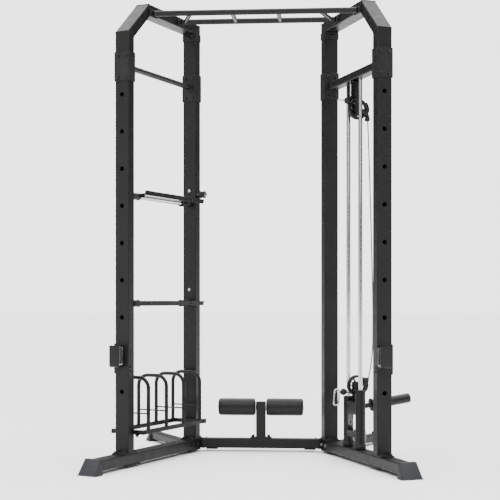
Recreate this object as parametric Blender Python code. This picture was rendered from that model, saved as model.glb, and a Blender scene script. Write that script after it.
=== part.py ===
"""Power cage with a plate-loaded pulley station, as separate named parts.

The cage stands on the floor at Z = 0 and opens towards -Y. Its two sides are flat
frames that stand turned about Z: wide apart at the front, close together at the back.
Each side has a local frame whose origin is on the floor under its front upright, with
Y running along the side to the rear upright. "out" below means away from the cage.
"""
from math import acos, atan2, cos, degrees, hypot, pi, radians, sin

import bmesh
import bpy
from mathutils import Matrix, Vector

# ---------------------------------------------------------------- driving dimensions
HALF_FRONT = 0.605            # X of the front uprights
HALF_REAR = 0.359             # X of the rear uprights
CAGE_DEPTH = 0.585            # along Y, between front and rear uprights
FRONT_Y = -0.3832             # Y of the front uprights; puts the middle of the footprint at 0
SPLAY = atan2(HALF_FRONT - HALF_REAR, CAGE_DEPTH)
SIDE_LENGTH = hypot(HALF_FRONT - HALF_REAR, CAGE_DEPTH)

TUBE_WIDE = 0.075             # main tube, across the side frame
TUBE_DEEP = 0.050             # main tube, in the plane of the side frame
WALL = 0.0025
GAP = 0.0003                  # between pieces that touch

RAIL_BOTTOM = 0.016
RAIL_TOP = RAIL_BOTTOM + TUBE_DEEP
RAIL_FRONT = -0.255           # rail ends, along the side
RAIL_REAR = 0.700
JOINT_Z = 1.883               # where the upper side frame meets the uprights
KNEE_Z = 2.045                # middle line of the knee
SLANT_RUN = 0.165             # how far back the slant ends
TOP_Z = 2.222
TOP_MID_Z = TOP_Z - TUBE_DEEP / 2

HOLE_RADIUS = 0.011
HOLE_PITCH = 0.175
HOLE_TOP_Z = 1.759
HOLE_COUNT = 9

COLLAR_BOTTOM, COLLAR_TOP = 1.823, 1.960
COLLAR_WALL = 0.004

FOOT_HEIGHT = 0.073
REAR_FOOT_HEIGHT = 0.062
BOOT_REACH = (0.015, 0.058)   # how far a boot's top and its sole stand out from the rail's end
BOOT_SPARE = (0.005, 0.015)   # how much wider they are than the rail, on each side
BOOT_LIP = 0.006
LEG_TURN = radians(30.1)      # rear leg, from +Y
LEG_LENGTH = 0.452
LEG_WIDE, LEG_TALL = 0.050, 0.040
LEG_START = 0.650             # along the side, on the rail's outer face
LEG_BOTTOM = 0.014
FLANGE_LONG, FLANGE_THICK = 0.118, 0.005

CROSS_MID_Y = FRONT_Y + 0.637
BAR_RADIUS = 0.0138
BAR_END_GAP = 0.0018
FRONT_BAR_Y, FRONT_BAR_Z = FRONT_Y + 0.160, 2.182
REAR_BAR_Y, REAR_BAR_Z = FRONT_Y + 0.408, 2.199
STRUT_RADIUS = 0.0105
STRUT_X = 0.112
ANGLED_STRUT = (0.311, 0.370)  # X at the front bar and at the rear bar

GRIP_Z = 1.896
BEAM_BOTTOM, BEAM_TOP = 1.868, 1.906
BEAM_WIDE = 0.050

ROD_RADIUS = 0.010
ROD_FRONT, ROD_REAR = 0.248, 0.391   # along the side
PULLEY_AT = 0.320
WHEEL_RADIUS = 0.050
WHEEL_WIDE = 0.024
GROOVE_DEPTH = 0.006
UPPER_WHEEL = (0.0194, 1.729)  # out, up
LOWER_WHEEL = (0.0147, 0.372)
AXLE_RADIUS = 0.006
STRAP_MID, STRAP_HALF = 0.008, 0.018   # middle and half width of a pulley's strap, out of the cage
STRAP_THICK, STRAP_INSIDE = 0.004, 0.017
UPPER_STRAP_END, LOWER_STRAP_END = 1.693, 0.388
SLEEVE_RADIUS = 0.0245
SLEEVE_BOTTOM = 0.094
FRONT_SLEEVE_TOP, REAR_SLEEVE_TOP = 0.353, 0.313
BRIDGE = (0.232, 0.292)       # bottom and top of the plate that joins the sleeves
LOWER_BRIDGE = (0.120, 0.150)
BRIDGE_HALF = 0.020
BRIDGE_BITE = 0.006           # how far the bridge plates reach into the sleeves
PEG_TILT = radians(8)
PEG_UP = 0.264
PEG_GAP = 0.0035              # from the bridge plate to the middle of the peg's foot
PEG_FOOT, PEG_FOOT_THICK = 0.018, 0.006
PEG_SHAFT, PEG_FLANGE, PEG_SLEEVE = 0.0125, 0.032, 0.0240   # radii
PEG_FLANGE_AT = (0.066, 0.073)
PEG_LENGTH, PEG_EDGE = 0.276, 0.005
RUNNING_GAP = 0.0006          # between a bore and what turns or slides in it
CABLE_RADIUS = 0.003
CABLE_LIFT = 0.0016           # between the cable and the bottom of a wheel's groove
CABLE_BOW = 0.046             # how far the slack run stands out
BALL_RADIUS = 0.0165
BALL_FLAT = 66                # a ball stop is flat beyond this angle, in degrees
UPPER_BALL = (-0.038, 1.769)
LOWER_BALL = (-0.058, 0.341)
EYE_LENGTH, EYE_HALF, EYE_WIRE = 0.031, 0.008, 0.0022

HOOK_HALF, HOOK_LENGTH, HOOK_WIRE = 0.013, 0.078, 0.0038
HOOK_GATE = (0.020, 0.058)    # where the gate's opening starts and ends, from the eye
GATE_THINNER = 0.0008
GATE_PIVOT_GAP, GATE_TIP_GAP = 0.0026, 0.0010

ROLLER_Z = 0.230
ROLLER_RADIUS = 0.046
ROLLER_INNER, ROLLER_OUTER = 0.029, 0.222
ROLLER_EDGE = 0.010
ROLLER_AXLE, ROLLER_GAP = 0.0125, 0.0008
POST_TOP = 0.256
POST_WIDE, POST_DEEP = 0.050, 0.040
POST_FOOT = (0.112, 0.050)

HOOP_AT = (0.082, 0.247, 0.412, 0.577)
HOOP_ROD = 0.0088
HOOP_HALF = 0.080
HOOP_TOP = 0.421
HOOP_BEND = 0.052
HOOP_WIRE_Z, HOOP_WIRE = 0.250, 0.0036
RACK_Z = 0.165
RACK_BAR = 0.020
RACK_GAP = 0.0005

# chrome tube's middle, guard strip's lower edge, and where the strip starts along the side
SPOTTERS = {"upper": (1.288, 1.295, 0.112), "lower": (0.7745, 0.763, 0.020)}
SPOTTER_RADIUS = 0.0125
GUARD_TALL, GUARD_THICK = 0.023, 0.006
GUARD_LEAN = 0.008            # how far the strip's slanted ends run
GUARD_PAST = 0.055            # how far the strip runs past the rear upright's middle
SOCKET_LENGTH, SOCKET_WALL = 0.093, 0.003
PULL_PIN_Z = 1.338
PIN_PROFILE = [(0.008, 0), (0.008, 0.010), (0.018, 0.010), (0.019, 0.014), (0.019, 0.020),   # radius, reach
               (0.013, 0.023), (0.013, 0.029), (0.018, 0.031), (0.018, 0.042), (0.015, 0.045)]

CUP_BACK = (0.445, 0.586)     # bottom and top of a J-cup's back plate
CUP_THICK = 0.005
CUP_REACH = 0.046             # from the upright's face to the front of the lip
CUP_LIP_HALF, CUP_SHIFT = 0.0265, -0.0145   # both hooks are the same part, shifted the same way
CUP_LIP_TOP = 0.578
CUP_FLOOR = (0.470, 0.482)    # underside and upper side of the floor, at the lip
CUP_FLOOR_RISE = 0.006        # how much higher the floor is at the back plate
CHEEK_TOP, CHEEK_DEEP, CHEEK_THICK = 0.488, 0.026, 0.003
CUP_PIN_HOLE = 7              # the hole, counted down from the top, that a J-cup's pin is in
CUP_PIN_LENGTH = 0.032

MATERIALS = {
    "black_steel": ((0.022, 0.021, 0.021, 1), 0.42, 0.0),
    "boot": ((0.055, 0.057, 0.065, 1), 0.6, 0.0),
    "chrome": ((0.72, 0.72, 0.70, 1), 0.15, 1.0),
    "foam": ((0.02, 0.02, 0.022, 1), 0.55, 0.0),
    "rubber": ((0.015, 0.015, 0.015, 1), 0.7, 0.0),
    "pulley_plastic": ((0.018, 0.018, 0.02, 1), 0.4, 0.0),
    "cable": ((0.10, 0.10, 0.10, 1), 0.35, 0.0),
}


# ---------------------------------------------------------------- scene and materials
def clear_scene():
    for item in list(bpy.data.objects):
        bpy.data.objects.remove(item, do_unlink=True)


def make_material(name):
    color, roughness, metallic = MATERIALS[name]
    material = bpy.data.materials.new(name)
    material.use_nodes = True
    shader = material.node_tree.nodes["Principled BSDF"]
    shader.inputs["Base Color"].default_value = color
    shader.inputs["Roughness"].default_value = roughness
    shader.inputs["Metallic"].default_value = metallic
    return material


def make_side(name, sign):
    """An empty whose local Y runs along one side of the cage."""
    empty = bpy.data.objects.new(name, None)
    empty.location = (sign * HALF_FRONT, FRONT_Y, 0)
    empty.rotation_euler = (0, 0, sign * SPLAY)
    bpy.context.collection.objects.link(empty)
    return empty


# ---------------------------------------------------------------- mesh helpers
def circle(radius, count, z=0.0):
    return [Vector((radius * cos(2 * pi * i / count), radius * sin(2 * pi * i / count), z))
            for i in range(count)]


def rectangle(wide, tall, z=0.0):
    return [Vector((sx * wide / 2, sy * tall / 2, z)) for sx, sy in ((-1, -1), (1, -1), (1, 1), (-1, 1))]


def mesh_from_loops(name, loops, hollow=False):
    """A closed skin through equal loops of points: capped, or joined end to end."""
    bm = bmesh.new()
    rings = [[bm.verts.new(point) for point in loop] for loop in loops]
    pairs = list(zip(rings, rings[1:]))
    if hollow:
        pairs.append((rings[-1], rings[0]))
    else:
        bm.faces.new(rings[0])
        bm.faces.new(rings[-1])
    for a, b in pairs:
        for i in range(len(a)):
            j = (i + 1) % len(a)
            bm.faces.new((a[i], a[j], b[j], b[i]))
    bmesh.ops.recalc_face_normals(bm, faces=bm.faces)
    mesh = bpy.data.meshes.new(name)
    bm.to_mesh(mesh)
    bm.free()
    return mesh


def place(name, mesh, material, parent=None, matrix=None, smooth=False):
    """One named object for one sub-part."""
    item = bpy.data.objects.new(name, mesh)
    bpy.context.collection.objects.link(item)
    item.parent = parent
    if matrix is not None:
        item.matrix_local = matrix
    if not mesh.materials:
        mesh.materials.append(material)
    if smooth:
        mesh.shade_smooth()
        mesh.set_sharp_from_angle(angle=radians(35))
    return item


def along(start, end):
    """A matrix that puts local Z on the line from start to end."""
    start, end = Vector(start), Vector(end)
    turn = (end - start).to_track_quat("Z", "Y")
    return Matrix.Translation(start) @ turn.to_matrix().to_4x4()


def box(name, low, high, material, parent=None):
    low, high = Vector(low), Vector(high)
    wide, deep, tall = high - low
    mesh = mesh_from_loops(name, [rectangle(wide, deep, 0), rectangle(wide, deep, tall)])
    middle = Vector(((low.x + high.x) / 2, (low.y + high.y) / 2, low.z))
    return place(name, mesh, material, parent, Matrix.Translation(middle))


def post(name, x, y, bottom, top, material, parent, wide=TUBE_WIDE, deep=TUBE_DEEP, wall=WALL):
    """An upright rectangular tube, open at both ends."""
    inner = (wide - 2 * wall, deep - 2 * wall)
    height = top - bottom
    loops = [rectangle(wide, deep, 0), rectangle(wide, deep, height),
             rectangle(*inner, height), rectangle(*inner, 0)]
    mesh = mesh_from_loops(name, loops, hollow=True)
    return place(name, mesh, material, parent, Matrix.Translation((x, y, bottom)))


def rod(name, start, end, radius, material, parent=None, count=16, bore=0.0):
    """A round bar or, with a bore, a round tube that is open at both ends."""
    length = (Vector(end) - Vector(start)).length
    loops = [circle(radius, count, 0), circle(radius, count, length)]
    if bore:
        loops += [circle(bore, count, length), circle(bore, count, 0)]
    mesh = mesh_from_loops(name, loops, hollow=bool(bore))
    return place(name, mesh, material, parent, along(start, end), smooth=True)


def turned(name, profile, start, end, material, parent=None, count=20, bore=0.0):
    """A turned piece: (radius, distance) pairs along the line from start to end."""
    loops = [circle(radius, count, distance) for radius, distance in profile]
    if bore:
        loops += [circle(bore, count, profile[-1][1]), circle(bore, count, profile[0][1])]
    mesh = mesh_from_loops(name, loops, hollow=bool(bore))
    return place(name, mesh, material, parent, along(start, end), smooth=True)


def swept(name, path, section, material, parent=None, closed=False, smooth=False):
    """A solid or hollow section swept along a bent path in one plane, with mitred bends.

    section is a list of loops of (side, out) points: side is square to the plane of the
    path, out points to the left of travel. Two loops make a tube with open ends.
    """
    path = [Vector(point) for point in path]
    count = len(path)
    normal = Vector((0, 0, 0))
    for i in range(1, count - 1):
        normal += (path[i] - path[i - 1]).cross(path[i + 1] - path[i])
    normal.normalize()
    frames = []
    for i in range(count):
        before = (path[i] - path[i - 1]).normalized() if (i or closed) else None
        after = (path[(i + 1) % count] - path[i]).normalized() if (i < count - 1 or closed) else None
        before, after = before or after, after or before
        tangent = (before + after).normalized()
        out = normal.cross(tangent)
        stretch = 1 / max(0.2, tangent.dot(before))
        frames.append((path[i], out * stretch))
    def ring(i, loop):
        point, out = frames[i]
        return [point + normal * side + out * away for side, away in loop]
    order = range(count)
    if closed:
        loops = [ring(i, section[0]) for i in order]
        mesh = mesh_from_loops(name, loops, hollow=True)
    elif len(section) == 2:
        loops = [ring(i, section[0]) for i in order] + [ring(i, section[1]) for i in reversed(order)]
        mesh = mesh_from_loops(name, loops, hollow=True)
    else:
        mesh = mesh_from_loops(name, [ring(i, section[0]) for i in order])
    return place(name, mesh, material, parent, smooth=smooth)


def flat_section(wide, deep):
    return [(sx * wide / 2, sy * deep / 2) for sx, sy in ((-1, -1), (1, -1), (1, 1), (-1, 1))]


def round_section(radius, count=10):
    return [(radius * cos(2 * pi * i / count), radius * sin(2 * pi * i / count)) for i in range(count)]


def prism(name, outline, low_x, high_x, material, parent=None):
    """An outline of (Y, Z) pairs extruded along X."""
    loops = [[Vector((x, y, z)) for y, z in outline] for x in (low_x, high_x)]
    return place(name, mesh_from_loops(name, loops), material, parent)


def combine(target, tool, operation="UNION"):
    """Joins or cuts with a hidden tool body."""
    tool.hide_render = True
    tool.display_type = "WIRE"
    modifier = target.modifiers.new(operation.lower(), "BOOLEAN")
    modifier.operation = operation
    modifier.solver = "EXACT"
    modifier.object = tool


def arc(center, radius, first, last, steps):
    """Points on an arc, in a plane given by two coordinates; angles in degrees."""
    a, b = center
    turn = [radians(first + (last - first) * i / steps) for i in range(steps + 1)]
    return [(a + radius * cos(t), b + radius * sin(t)) for t in turn]


def side_x(y, inset):
    """X of a plane parallel to a side frame, inset towards the cage, at a world Y."""
    return HALF_FRONT - (y - FRONT_Y) * (HALF_FRONT - HALF_REAR) / CAGE_DEPTH - inset / cos(SPLAY)


# ---------------------------------------------------------------- base
def level_tube(name, wide, tall, start, end, middle_z, paint, side):
    """A level rectangular tube along the side, open at both ends."""
    loops = []
    for y, wall in ((start, 0), (end, 0), (end, WALL), (start, WALL)):
        section = flat_section(wide - 2 * wall, tall - 2 * wall)
        loops.append([Vector((x, y, middle_z + z)) for x, z in section])
    return place(name, mesh_from_loops(name, loops, hollow=True), paint, side)


def base_rail(side, paint):
    level_tube(f"{side.name}_base_rail", TUBE_WIDE, TUBE_DEEP, RAIL_FRONT, RAIL_REAR,
               RAIL_BOTTOM + TUBE_DEEP / 2, paint, side)


def boot(name, at, height, wide, material, parent, clear):
    """A foot boot at a rail's end: a block that leans out to a wider sole.

    at is the rail's end along the parent's Y and clear is +1 or -1, the way the rail ends.
    """
    back = at + clear * GAP
    top_front, sole_front = (back + clear * reach for reach in BOOT_REACH)
    half_top, half_sole = (wide / 2 + spare for spare in BOOT_SPARE)

    def ring(z, half, front):
        return [Vector((-half, back, z)), Vector((half, back, z)),
                Vector((half, front, z)), Vector((-half, front, z))]

    loops = [ring(0, half_sole, sole_front), ring(BOOT_LIP, half_sole, sole_front),
             ring(height, half_top, top_front)]
    return place(name, mesh_from_loops(name, loops), material, parent)


def rear_leg(side, sign, paint, boot_material):
    """A leg that starts on the rail's outer face and splays out to the back."""
    pivot = bpy.data.objects.new(f"{side.name}_leg_frame", None)
    bpy.context.collection.objects.link(pivot)
    pivot.parent = side
    pivot.location = (sign * (TUBE_WIDE / 2 + GAP), LEG_START, 0)
    turn = SPLAY + LEG_TURN
    pivot.rotation_euler = (0, 0, -sign * turn)
    slope = cos(turn) / sin(turn)
    def ring(wide, tall, start):
        points = []
        for x, z in flat_section(wide, tall):
            y = LEG_LENGTH if not start else -sign * x * slope
            points.append(Vector((x, y, LEG_BOTTOM + LEG_TALL / 2 + z)))
        return points
    inner = (LEG_WIDE - 2 * WALL, LEG_TALL - 2 * WALL)
    loops = [ring(LEG_WIDE, LEG_TALL, True), ring(LEG_WIDE, LEG_TALL, False),
             ring(*inner, False), ring(*inner, True)]
    mesh = mesh_from_loops("rear_leg", loops, hollow=True)
    place(f"{side.name}_rear_leg", mesh, paint, pivot)
    boot(f"{side.name}_rear_foot", LEG_LENGTH, REAR_FOOT_HEIGHT, LEG_WIDE, boot_material, pivot, 1)


def crossmember(paint):
    """The back tube between the two base rails, its ends cut to the rails' inner faces."""
    def ring(deep, tall, sign):
        return [Vector((sign * side_x(CROSS_MID_Y + y, TUBE_WIDE / 2 + GAP), CROSS_MID_Y + y,
                        RAIL_BOTTOM + TUBE_DEEP / 2 + z)) for y, z in flat_section(deep, tall)]
    inner = TUBE_DEEP - 2 * WALL
    loops = [ring(TUBE_DEEP, TUBE_DEEP, -1), ring(TUBE_DEEP, TUBE_DEEP, 1),
             ring(inner, inner, 1), ring(inner, inner, -1)]
    return place("rear_crossmember", mesh_from_loops("rear_crossmember", loops, hollow=True), paint)


# ---------------------------------------------------------------- uprights and top
def base_plate(name, y, paint, side):
    """The flange under an upright, open in the middle so that the tube stays open."""
    plate = (TUBE_WIDE, FLANGE_LONG)
    inside = (TUBE_WIDE - 2 * WALL, TUBE_DEEP - 2 * WALL)
    loops = [rectangle(*plate, 0), rectangle(*plate, FLANGE_THICK),
             rectangle(*inside, FLANGE_THICK), rectangle(*inside, 0)]
    mesh = mesh_from_loops(name, loops, hollow=True)
    return place(name, mesh, paint, side, Matrix.Translation((0, y, RAIL_TOP + GAP)))


def upright(side, place_name, y, paint, with_holes):
    name = f"{side.name}_{place_name}_upright"
    item = post(name, 0, y, RAIL_TOP + GAP, JOINT_Z - GAP, paint, side)
    combine(item, base_plate(f"{name}_flange_tool", y, paint, side))
    if with_holes:
        for i in range(HOLE_COUNT):
            z = HOLE_TOP_Z - i * HOLE_PITCH
            cutter = rod(f"{name}_hole_tool_{i}", (0, y - TUBE_DEEP, z), (0, y + TUBE_DEEP, z),
                         HOLE_RADIUS, paint, side, count=12)
            combine(item, cutter, "DIFFERENCE")
    return item


def top_frame(side, paint):
    """Upper front post, slanted knee, top tube and upper rear post, welded as one."""
    path = [(0, 0, JOINT_Z), (0, 0, KNEE_Z), (0, SLANT_RUN, TOP_MID_Z),
            (0, SIDE_LENGTH, TOP_MID_Z), (0, SIDE_LENGTH, JOINT_Z)]
    section = [flat_section(TUBE_WIDE, TUBE_DEEP), flat_section(TUBE_WIDE - 2 * WALL, TUBE_DEEP - 2 * WALL)]
    return swept(f"{side.name}_top_frame", path, section, paint, side)


def collar(side, place_name, y, paint):
    """A sleeve of plate around the joint between an upright and the top frame."""
    gap = 2 * GAP
    wide, deep = TUBE_WIDE + gap + 2 * COLLAR_WALL, TUBE_DEEP + gap + 2 * COLLAR_WALL
    return post(f"{side.name}_{place_name}_collar", 0, y, COLLAR_BOTTOM, COLLAR_TOP, paint, side,
                wide, deep, COLLAR_WALL)


def pull_up_ladder(paint):
    """Front and rear bars between the top tubes, with four struts between them."""
    bars = (("front", FRONT_BAR_Y, FRONT_BAR_Z), ("rear", REAR_BAR_Y, REAR_BAR_Z))
    lean = BAR_RADIUS * (HALF_FRONT - HALF_REAR) / CAGE_DEPTH
    for label, y, z in bars:
        half = side_x(y, TUBE_WIDE / 2) - lean - BAR_END_GAP
        rod(f"{label}_pull_up_bar", (-half, y, z), (half, y, z), BAR_RADIUS, paint, bore=BAR_RADIUS - WALL)
    struts = (("straight", STRUT_X, STRUT_X), ("angled", *ANGLED_STRUT))
    for sign, label in ((-1, "left"), (1, "right")):
        for kind, front, rear in struts:
            start = Vector((sign * front, FRONT_BAR_Y, FRONT_BAR_Z))
            end = Vector((sign * rear, REAR_BAR_Y, REAR_BAR_Z))
            step = (end - start).normalized()
            spare = step * (BAR_RADIUS + 2 * GAP + STRUT_RADIUS * abs(step.x)) / step.y
            rod(f"{label}_{kind}_strut", start + spare, end - spare, STRUT_RADIUS, paint,
                count=12, bore=STRUT_RADIUS - WALL)


# ---------------------------------------------------------------- left side
def grip_bar(side, paint):
    """A round grip between the two left collars, with a flange at each end."""
    first = TUBE_DEEP / 2 + COLLAR_WALL + 2 * GAP
    length = SIDE_LENGTH - 2 * first
    flange, thick, grip, bore = 0.021, 0.004, 0.0135, 0.011
    profile = [(flange, 0), (flange, thick), (grip, thick), (grip, length - thick),
               (flange, length - thick), (flange, length)]
    return turned(f"{side.name}_grip_bar", profile, (0, first, GRIP_Z), (0, first + length, GRIP_Z),
                  paint, side, count=16, bore=bore)


def spotter(side, level, chrome, paint):
    """A chrome tube held by two sockets, and a guard strip on the cage side of them."""
    tube_z, strip_low, strip_front = SPOTTERS[level]
    first, last = TUBE_DEEP / 2 + GAP, SIDE_LENGTH - TUBE_DEEP / 2 - GAP
    inset = 0.004
    rod(f"{level}_spotter_tube", (0, first + inset, tube_z), (0, last - inset, tube_z), SPOTTER_RADIUS,
        chrome, side, bore=SPOTTER_RADIUS - WALL)
    strip_rear = SIDE_LENGTH + GUARD_PAST
    strip_high = strip_low + GUARD_TALL
    near = TUBE_WIDE / 2 + 0.001
    outline = [(strip_front, strip_low), (strip_rear - GUARD_LEAN, strip_low), (strip_rear, strip_high),
               (strip_front + GUARD_LEAN, strip_high)]
    guard = prism(f"{level}_spotter_guard", outline, near, near + GUARD_THICK, paint, side)
    bore = SPOTTER_RADIUS + 0.0008
    tab_half, tab_inset = 0.004, (0.006, 0.030)
    sockets = (("front", first, first + SOCKET_LENGTH - tab_inset[0]),
               ("rear", last - SOCKET_LENGTH, last - SOCKET_LENGTH + tab_inset[1]))
    for label, low, tab_middle in sockets:
        socket = rod(f"{level}_{label}_socket_tool", (0, low, tube_z), (0, low + SOCKET_LENGTH, tube_z),
                     bore + SOCKET_WALL, paint, side, bore=bore)
        combine(guard, socket)
        tab_low, tab_high = tube_z - 0.006, max(tube_z, strip_low) + 0.008
        tab = box(f"{level}_{label}_tab_tool", (bore + SOCKET_WALL / 2, tab_middle - tab_half, tab_low),
                  (near + GUARD_THICK / 2, tab_middle + tab_half, tab_high), paint, side)
        combine(guard, tab)


def pull_pin(side, paint):
    """A sprung pin with a round knob on the rear upright's inner face."""
    start = Vector((TUBE_WIDE / 2 + GAP, SIDE_LENGTH, PULL_PIN_Z))
    return turned("spotter_pull_pin", PIN_PROFILE, start, start + Vector((1, 0, 0)), paint, side)


def plate_rack(side, paint):
    """Base frame with four hoops for weight plates."""
    half = HOOP_HALF + 0.002
    front = TUBE_DEEP / 2 + RACK_GAP + RACK_BAR / 2
    rear = SIDE_LENGTH - front
    path = [(-half, front, RACK_Z), (half, front, RACK_Z), (half, rear, RACK_Z), (-half, rear, RACK_Z)]
    swept("rack_base", path, [flat_section(RACK_BAR, RACK_BAR)], paint, side, closed=True)
    leg_bottom = RACK_Z + RACK_BAR / 2 + GAP
    shoulder, bend_z = HOOP_HALF - HOOP_BEND, HOOP_TOP - HOOP_BEND
    outline = [(-HOOP_HALF, leg_bottom)]
    outline += arc((-shoulder, bend_z), HOOP_BEND, 180, 90, 6)
    outline += arc((shoulder, bend_z), HOOP_BEND, 90, 0, 6)
    outline += [(HOOP_HALF, leg_bottom)]
    for i, y in enumerate(HOOP_AT):
        hoop = swept(f"plate_hoop_{i + 1}", [(x, y, z) for x, z in outline], [round_section(HOOP_ROD)],
                     paint, side, smooth=True)
        wire = rod(f"hoop_wire_tool_{i}", (-HOOP_HALF, y, HOOP_WIRE_Z), (HOOP_HALF, y, HOOP_WIRE_Z),
                   HOOP_WIRE, paint, side, count=8)
        combine(hoop, wire)


# ---------------------------------------------------------------- pulley station
def pulley_beam(side, paint):
    first = TUBE_DEEP / 2 + COLLAR_WALL + 2 * GAP
    level_tube("pulley_beam", BEAM_WIDE, BEAM_TOP - BEAM_BOTTOM, first, SIDE_LENGTH - first,
               (BEAM_BOTTOM + BEAM_TOP) / 2, paint, side)


def guide_rods(side, chrome, rubber):
    bottom = RAIL_TOP + GAP
    height = SLEEVE_BOTTOM - GAP - bottom
    bumper = [(0.026, 0), (0.028, 0.004), (0.028, height * 0.6), (0.024, height)]
    for label, y in (("front", ROD_FRONT), ("rear", ROD_REAR)):
        rod(f"{label}_guide_rod", (0, y, bottom), (0, y, BEAM_BOTTOM - GAP), ROD_RADIUS, chrome, side)
        turned(f"{label}_bumper", bumper, (0, y, bottom), (0, y, bottom + height), rubber, side,
               count=16, bore=ROD_RADIUS + RUNNING_GAP)


def pulley_wheel(name, center, plastic, side):
    """A grooved cable wheel; its axle lies along the side."""
    out, z = center
    half = WHEEL_WIDE / 2
    groove, rim, flank = WHEEL_RADIUS - GROOVE_DEPTH, WHEEL_RADIUS - 0.001, 0.003
    profile = [(rim, 0), (WHEEL_RADIUS, flank), (groove, half), (WHEEL_RADIUS, WHEEL_WIDE - flank),
               (rim, WHEEL_WIDE)]
    return turned(name, profile, (out, PULLEY_AT - half, z), (out, PULLEY_AT + half, z), plastic, side,
                  count=28, bore=AXLE_RADIUS + RUNNING_GAP)


def pulley_bracket(name, center, closed_z, strap_end, paint, side):
    """A U strap around a wheel, closed at closed_z, with the wheel's axle across it."""
    out, z = center
    inner, outer = STRAP_INSIDE, STRAP_INSIDE + STRAP_THICK
    base = closed_z + (-STRAP_THICK if closed_z > z else STRAP_THICK)
    outline = [(-outer, closed_z), (outer, closed_z), (outer, strap_end), (inner, strap_end),
               (inner, base), (-inner, base), (-inner, strap_end), (-outer, strap_end)]
    outline = [(PULLEY_AT + y, up) for y, up in outline]
    item = prism(name, outline, STRAP_MID - STRAP_HALF, STRAP_MID + STRAP_HALF, paint, side)
    reach = outer + 0.006
    axle = rod(f"{name}_axle_tool", (out, PULLEY_AT - reach, z), (out, PULLEY_AT + reach, z), AXLE_RADIUS,
               paint, side, count=12)
    combine(item, axle)
    return item


def cable_stop(paint, side):
    """A hanging fork beside the upper wheel, which the ball on the cable rests against."""
    leg_in, leg_out, leg_thick = 0.0190, 0.0220, 0.008
    plate_low, plate_high = 1.7645, 1.790
    near, far = UPPER_BALL[0] + BALL_RADIUS - 0.001, UPPER_BALL[0] + BALL_RADIUS + 0.002
    slot_half, slot_top = CABLE_RADIUS + 0.0015, UPPER_BALL[1] + 0.006
    item = box("cable_stop_bracket", (near, PULLEY_AT - leg_out, plate_low),
               (far, PULLEY_AT + leg_out, plate_high), paint, side)
    for label, low, high in (("front", -leg_out, -leg_in), ("rear", leg_in, leg_out)):
        leg = box(f"cable_stop_{label}_leg_tool", (far - leg_thick, PULLEY_AT + low, plate_low),
                  (far, PULLEY_AT + high, BEAM_BOTTOM - GAP), paint, side)
        combine(item, leg)
    slot = box("cable_stop_slot_tool", (near - leg_thick, PULLEY_AT - slot_half, plate_low - slot_half),
               (far + leg_thick, PULLEY_AT + slot_half, slot_top), paint, side)
    combine(item, slot, "DIFFERENCE")
    return item


def carriage(side, paint):
    """Two sleeves that run on the guide rods, joined by a bridge plate."""
    bore = ROD_RADIUS + RUNNING_GAP
    item = rod("plate_carriage", (0, ROD_FRONT, SLEEVE_BOTTOM), (0, ROD_FRONT, FRONT_SLEEVE_TOP),
               SLEEVE_RADIUS, paint, side, count=20, bore=bore)
    tool = rod("carriage_sleeve_tool", (0, ROD_REAR, SLEEVE_BOTTOM), (0, ROD_REAR, REAR_SLEEVE_TOP),
               SLEEVE_RADIUS, paint, side, count=20, bore=bore)
    combine(item, tool)
    overlap = SLEEVE_RADIUS - BRIDGE_BITE
    for label, low, high in (("upper", *BRIDGE), ("lower", *LOWER_BRIDGE)):
        tool = box(f"carriage_{label}_bridge_tool", (-BRIDGE_HALF, ROD_FRONT + overlap, low),
                   (BRIDGE_HALF, ROD_REAR - overlap, high), paint, side)
        combine(item, tool)
    return item


def loading_peg(side, paint):
    """The plate peg, which leans up a little away from the cage."""
    start = Vector((BRIDGE_HALF + PEG_GAP, PULLEY_AT, PEG_UP))
    step = Vector((cos(PEG_TILT), 0, sin(PEG_TILT)))
    thin, (flange_low, flange_high) = PEG_FOOT_THICK, PEG_FLANGE_AT
    profile = [(PEG_FOOT, 0), (PEG_FOOT, thin), (PEG_SHAFT, thin), (PEG_SHAFT, flange_low),
               (PEG_FLANGE, flange_low), (PEG_FLANGE, flange_high), (PEG_SLEEVE, flange_high),
               (PEG_SLEEVE, PEG_LENGTH - PEG_EDGE), (PEG_SLEEVE - PEG_EDGE / 2, PEG_LENGTH)]
    return turned("loading_peg", profile, start, start + step, paint, side)


def tangent_angle(center, point, reach, turn):
    """Angle on a wheel, in degrees, where a straight run from the point touches it."""
    out, up = point[0] - center[0], point[1] - center[1]
    return degrees(atan2(up, out) + turn * acos(reach / hypot(out, up)))


def cable_points():
    """Route of the cable in the right side's frame: (out, up) pairs on the wheels' plane."""
    reach = WHEEL_RADIUS - GROOVE_DEPTH + CABLE_RADIUS + CABLE_LIFT
    first, last = ((ball[0] + BALL_RADIUS + 2 * GAP, ball[1]) for ball in (UPPER_BALL, LOWER_BALL))
    upper = arc(UPPER_WHEEL, reach, tangent_angle(UPPER_WHEEL, first, reach, -1), 0, 12)
    lower = arc(LOWER_WHEEL, reach, 0, tangent_angle(LOWER_WHEEL, last, reach, 1), 12)
    start, end = upper[-1], lower[0]
    steps = 22
    run = []
    for i in range(1, steps):
        share = i / steps
        bow = CABLE_BOW * share ** 0.75 * (1 - share ** 12)
        run.append((start[0] + (end[0] - start[0]) * share + bow, start[1] + (end[1] - start[1]) * share))
    return [first] + upper + run + lower + [last]


def cable(side, material):
    curve = bpy.data.curves.new("pulley_cable", "CURVE")
    curve.dimensions = "3D"
    curve.bevel_depth = CABLE_RADIUS
    curve.bevel_resolution = 2
    curve.use_fill_caps = True
    points = cable_points()
    spline = curve.splines.new("POLY")
    spline.points.add(len(points) - 1)
    for point, (out, z) in zip(spline.points, points):
        point.co = (out, PULLEY_AT, z, 1)
    curve.materials.append(material)
    item = bpy.data.objects.new("pulley_cable", curve)
    bpy.context.collection.objects.link(item)
    item.parent = side
    return item


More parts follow.
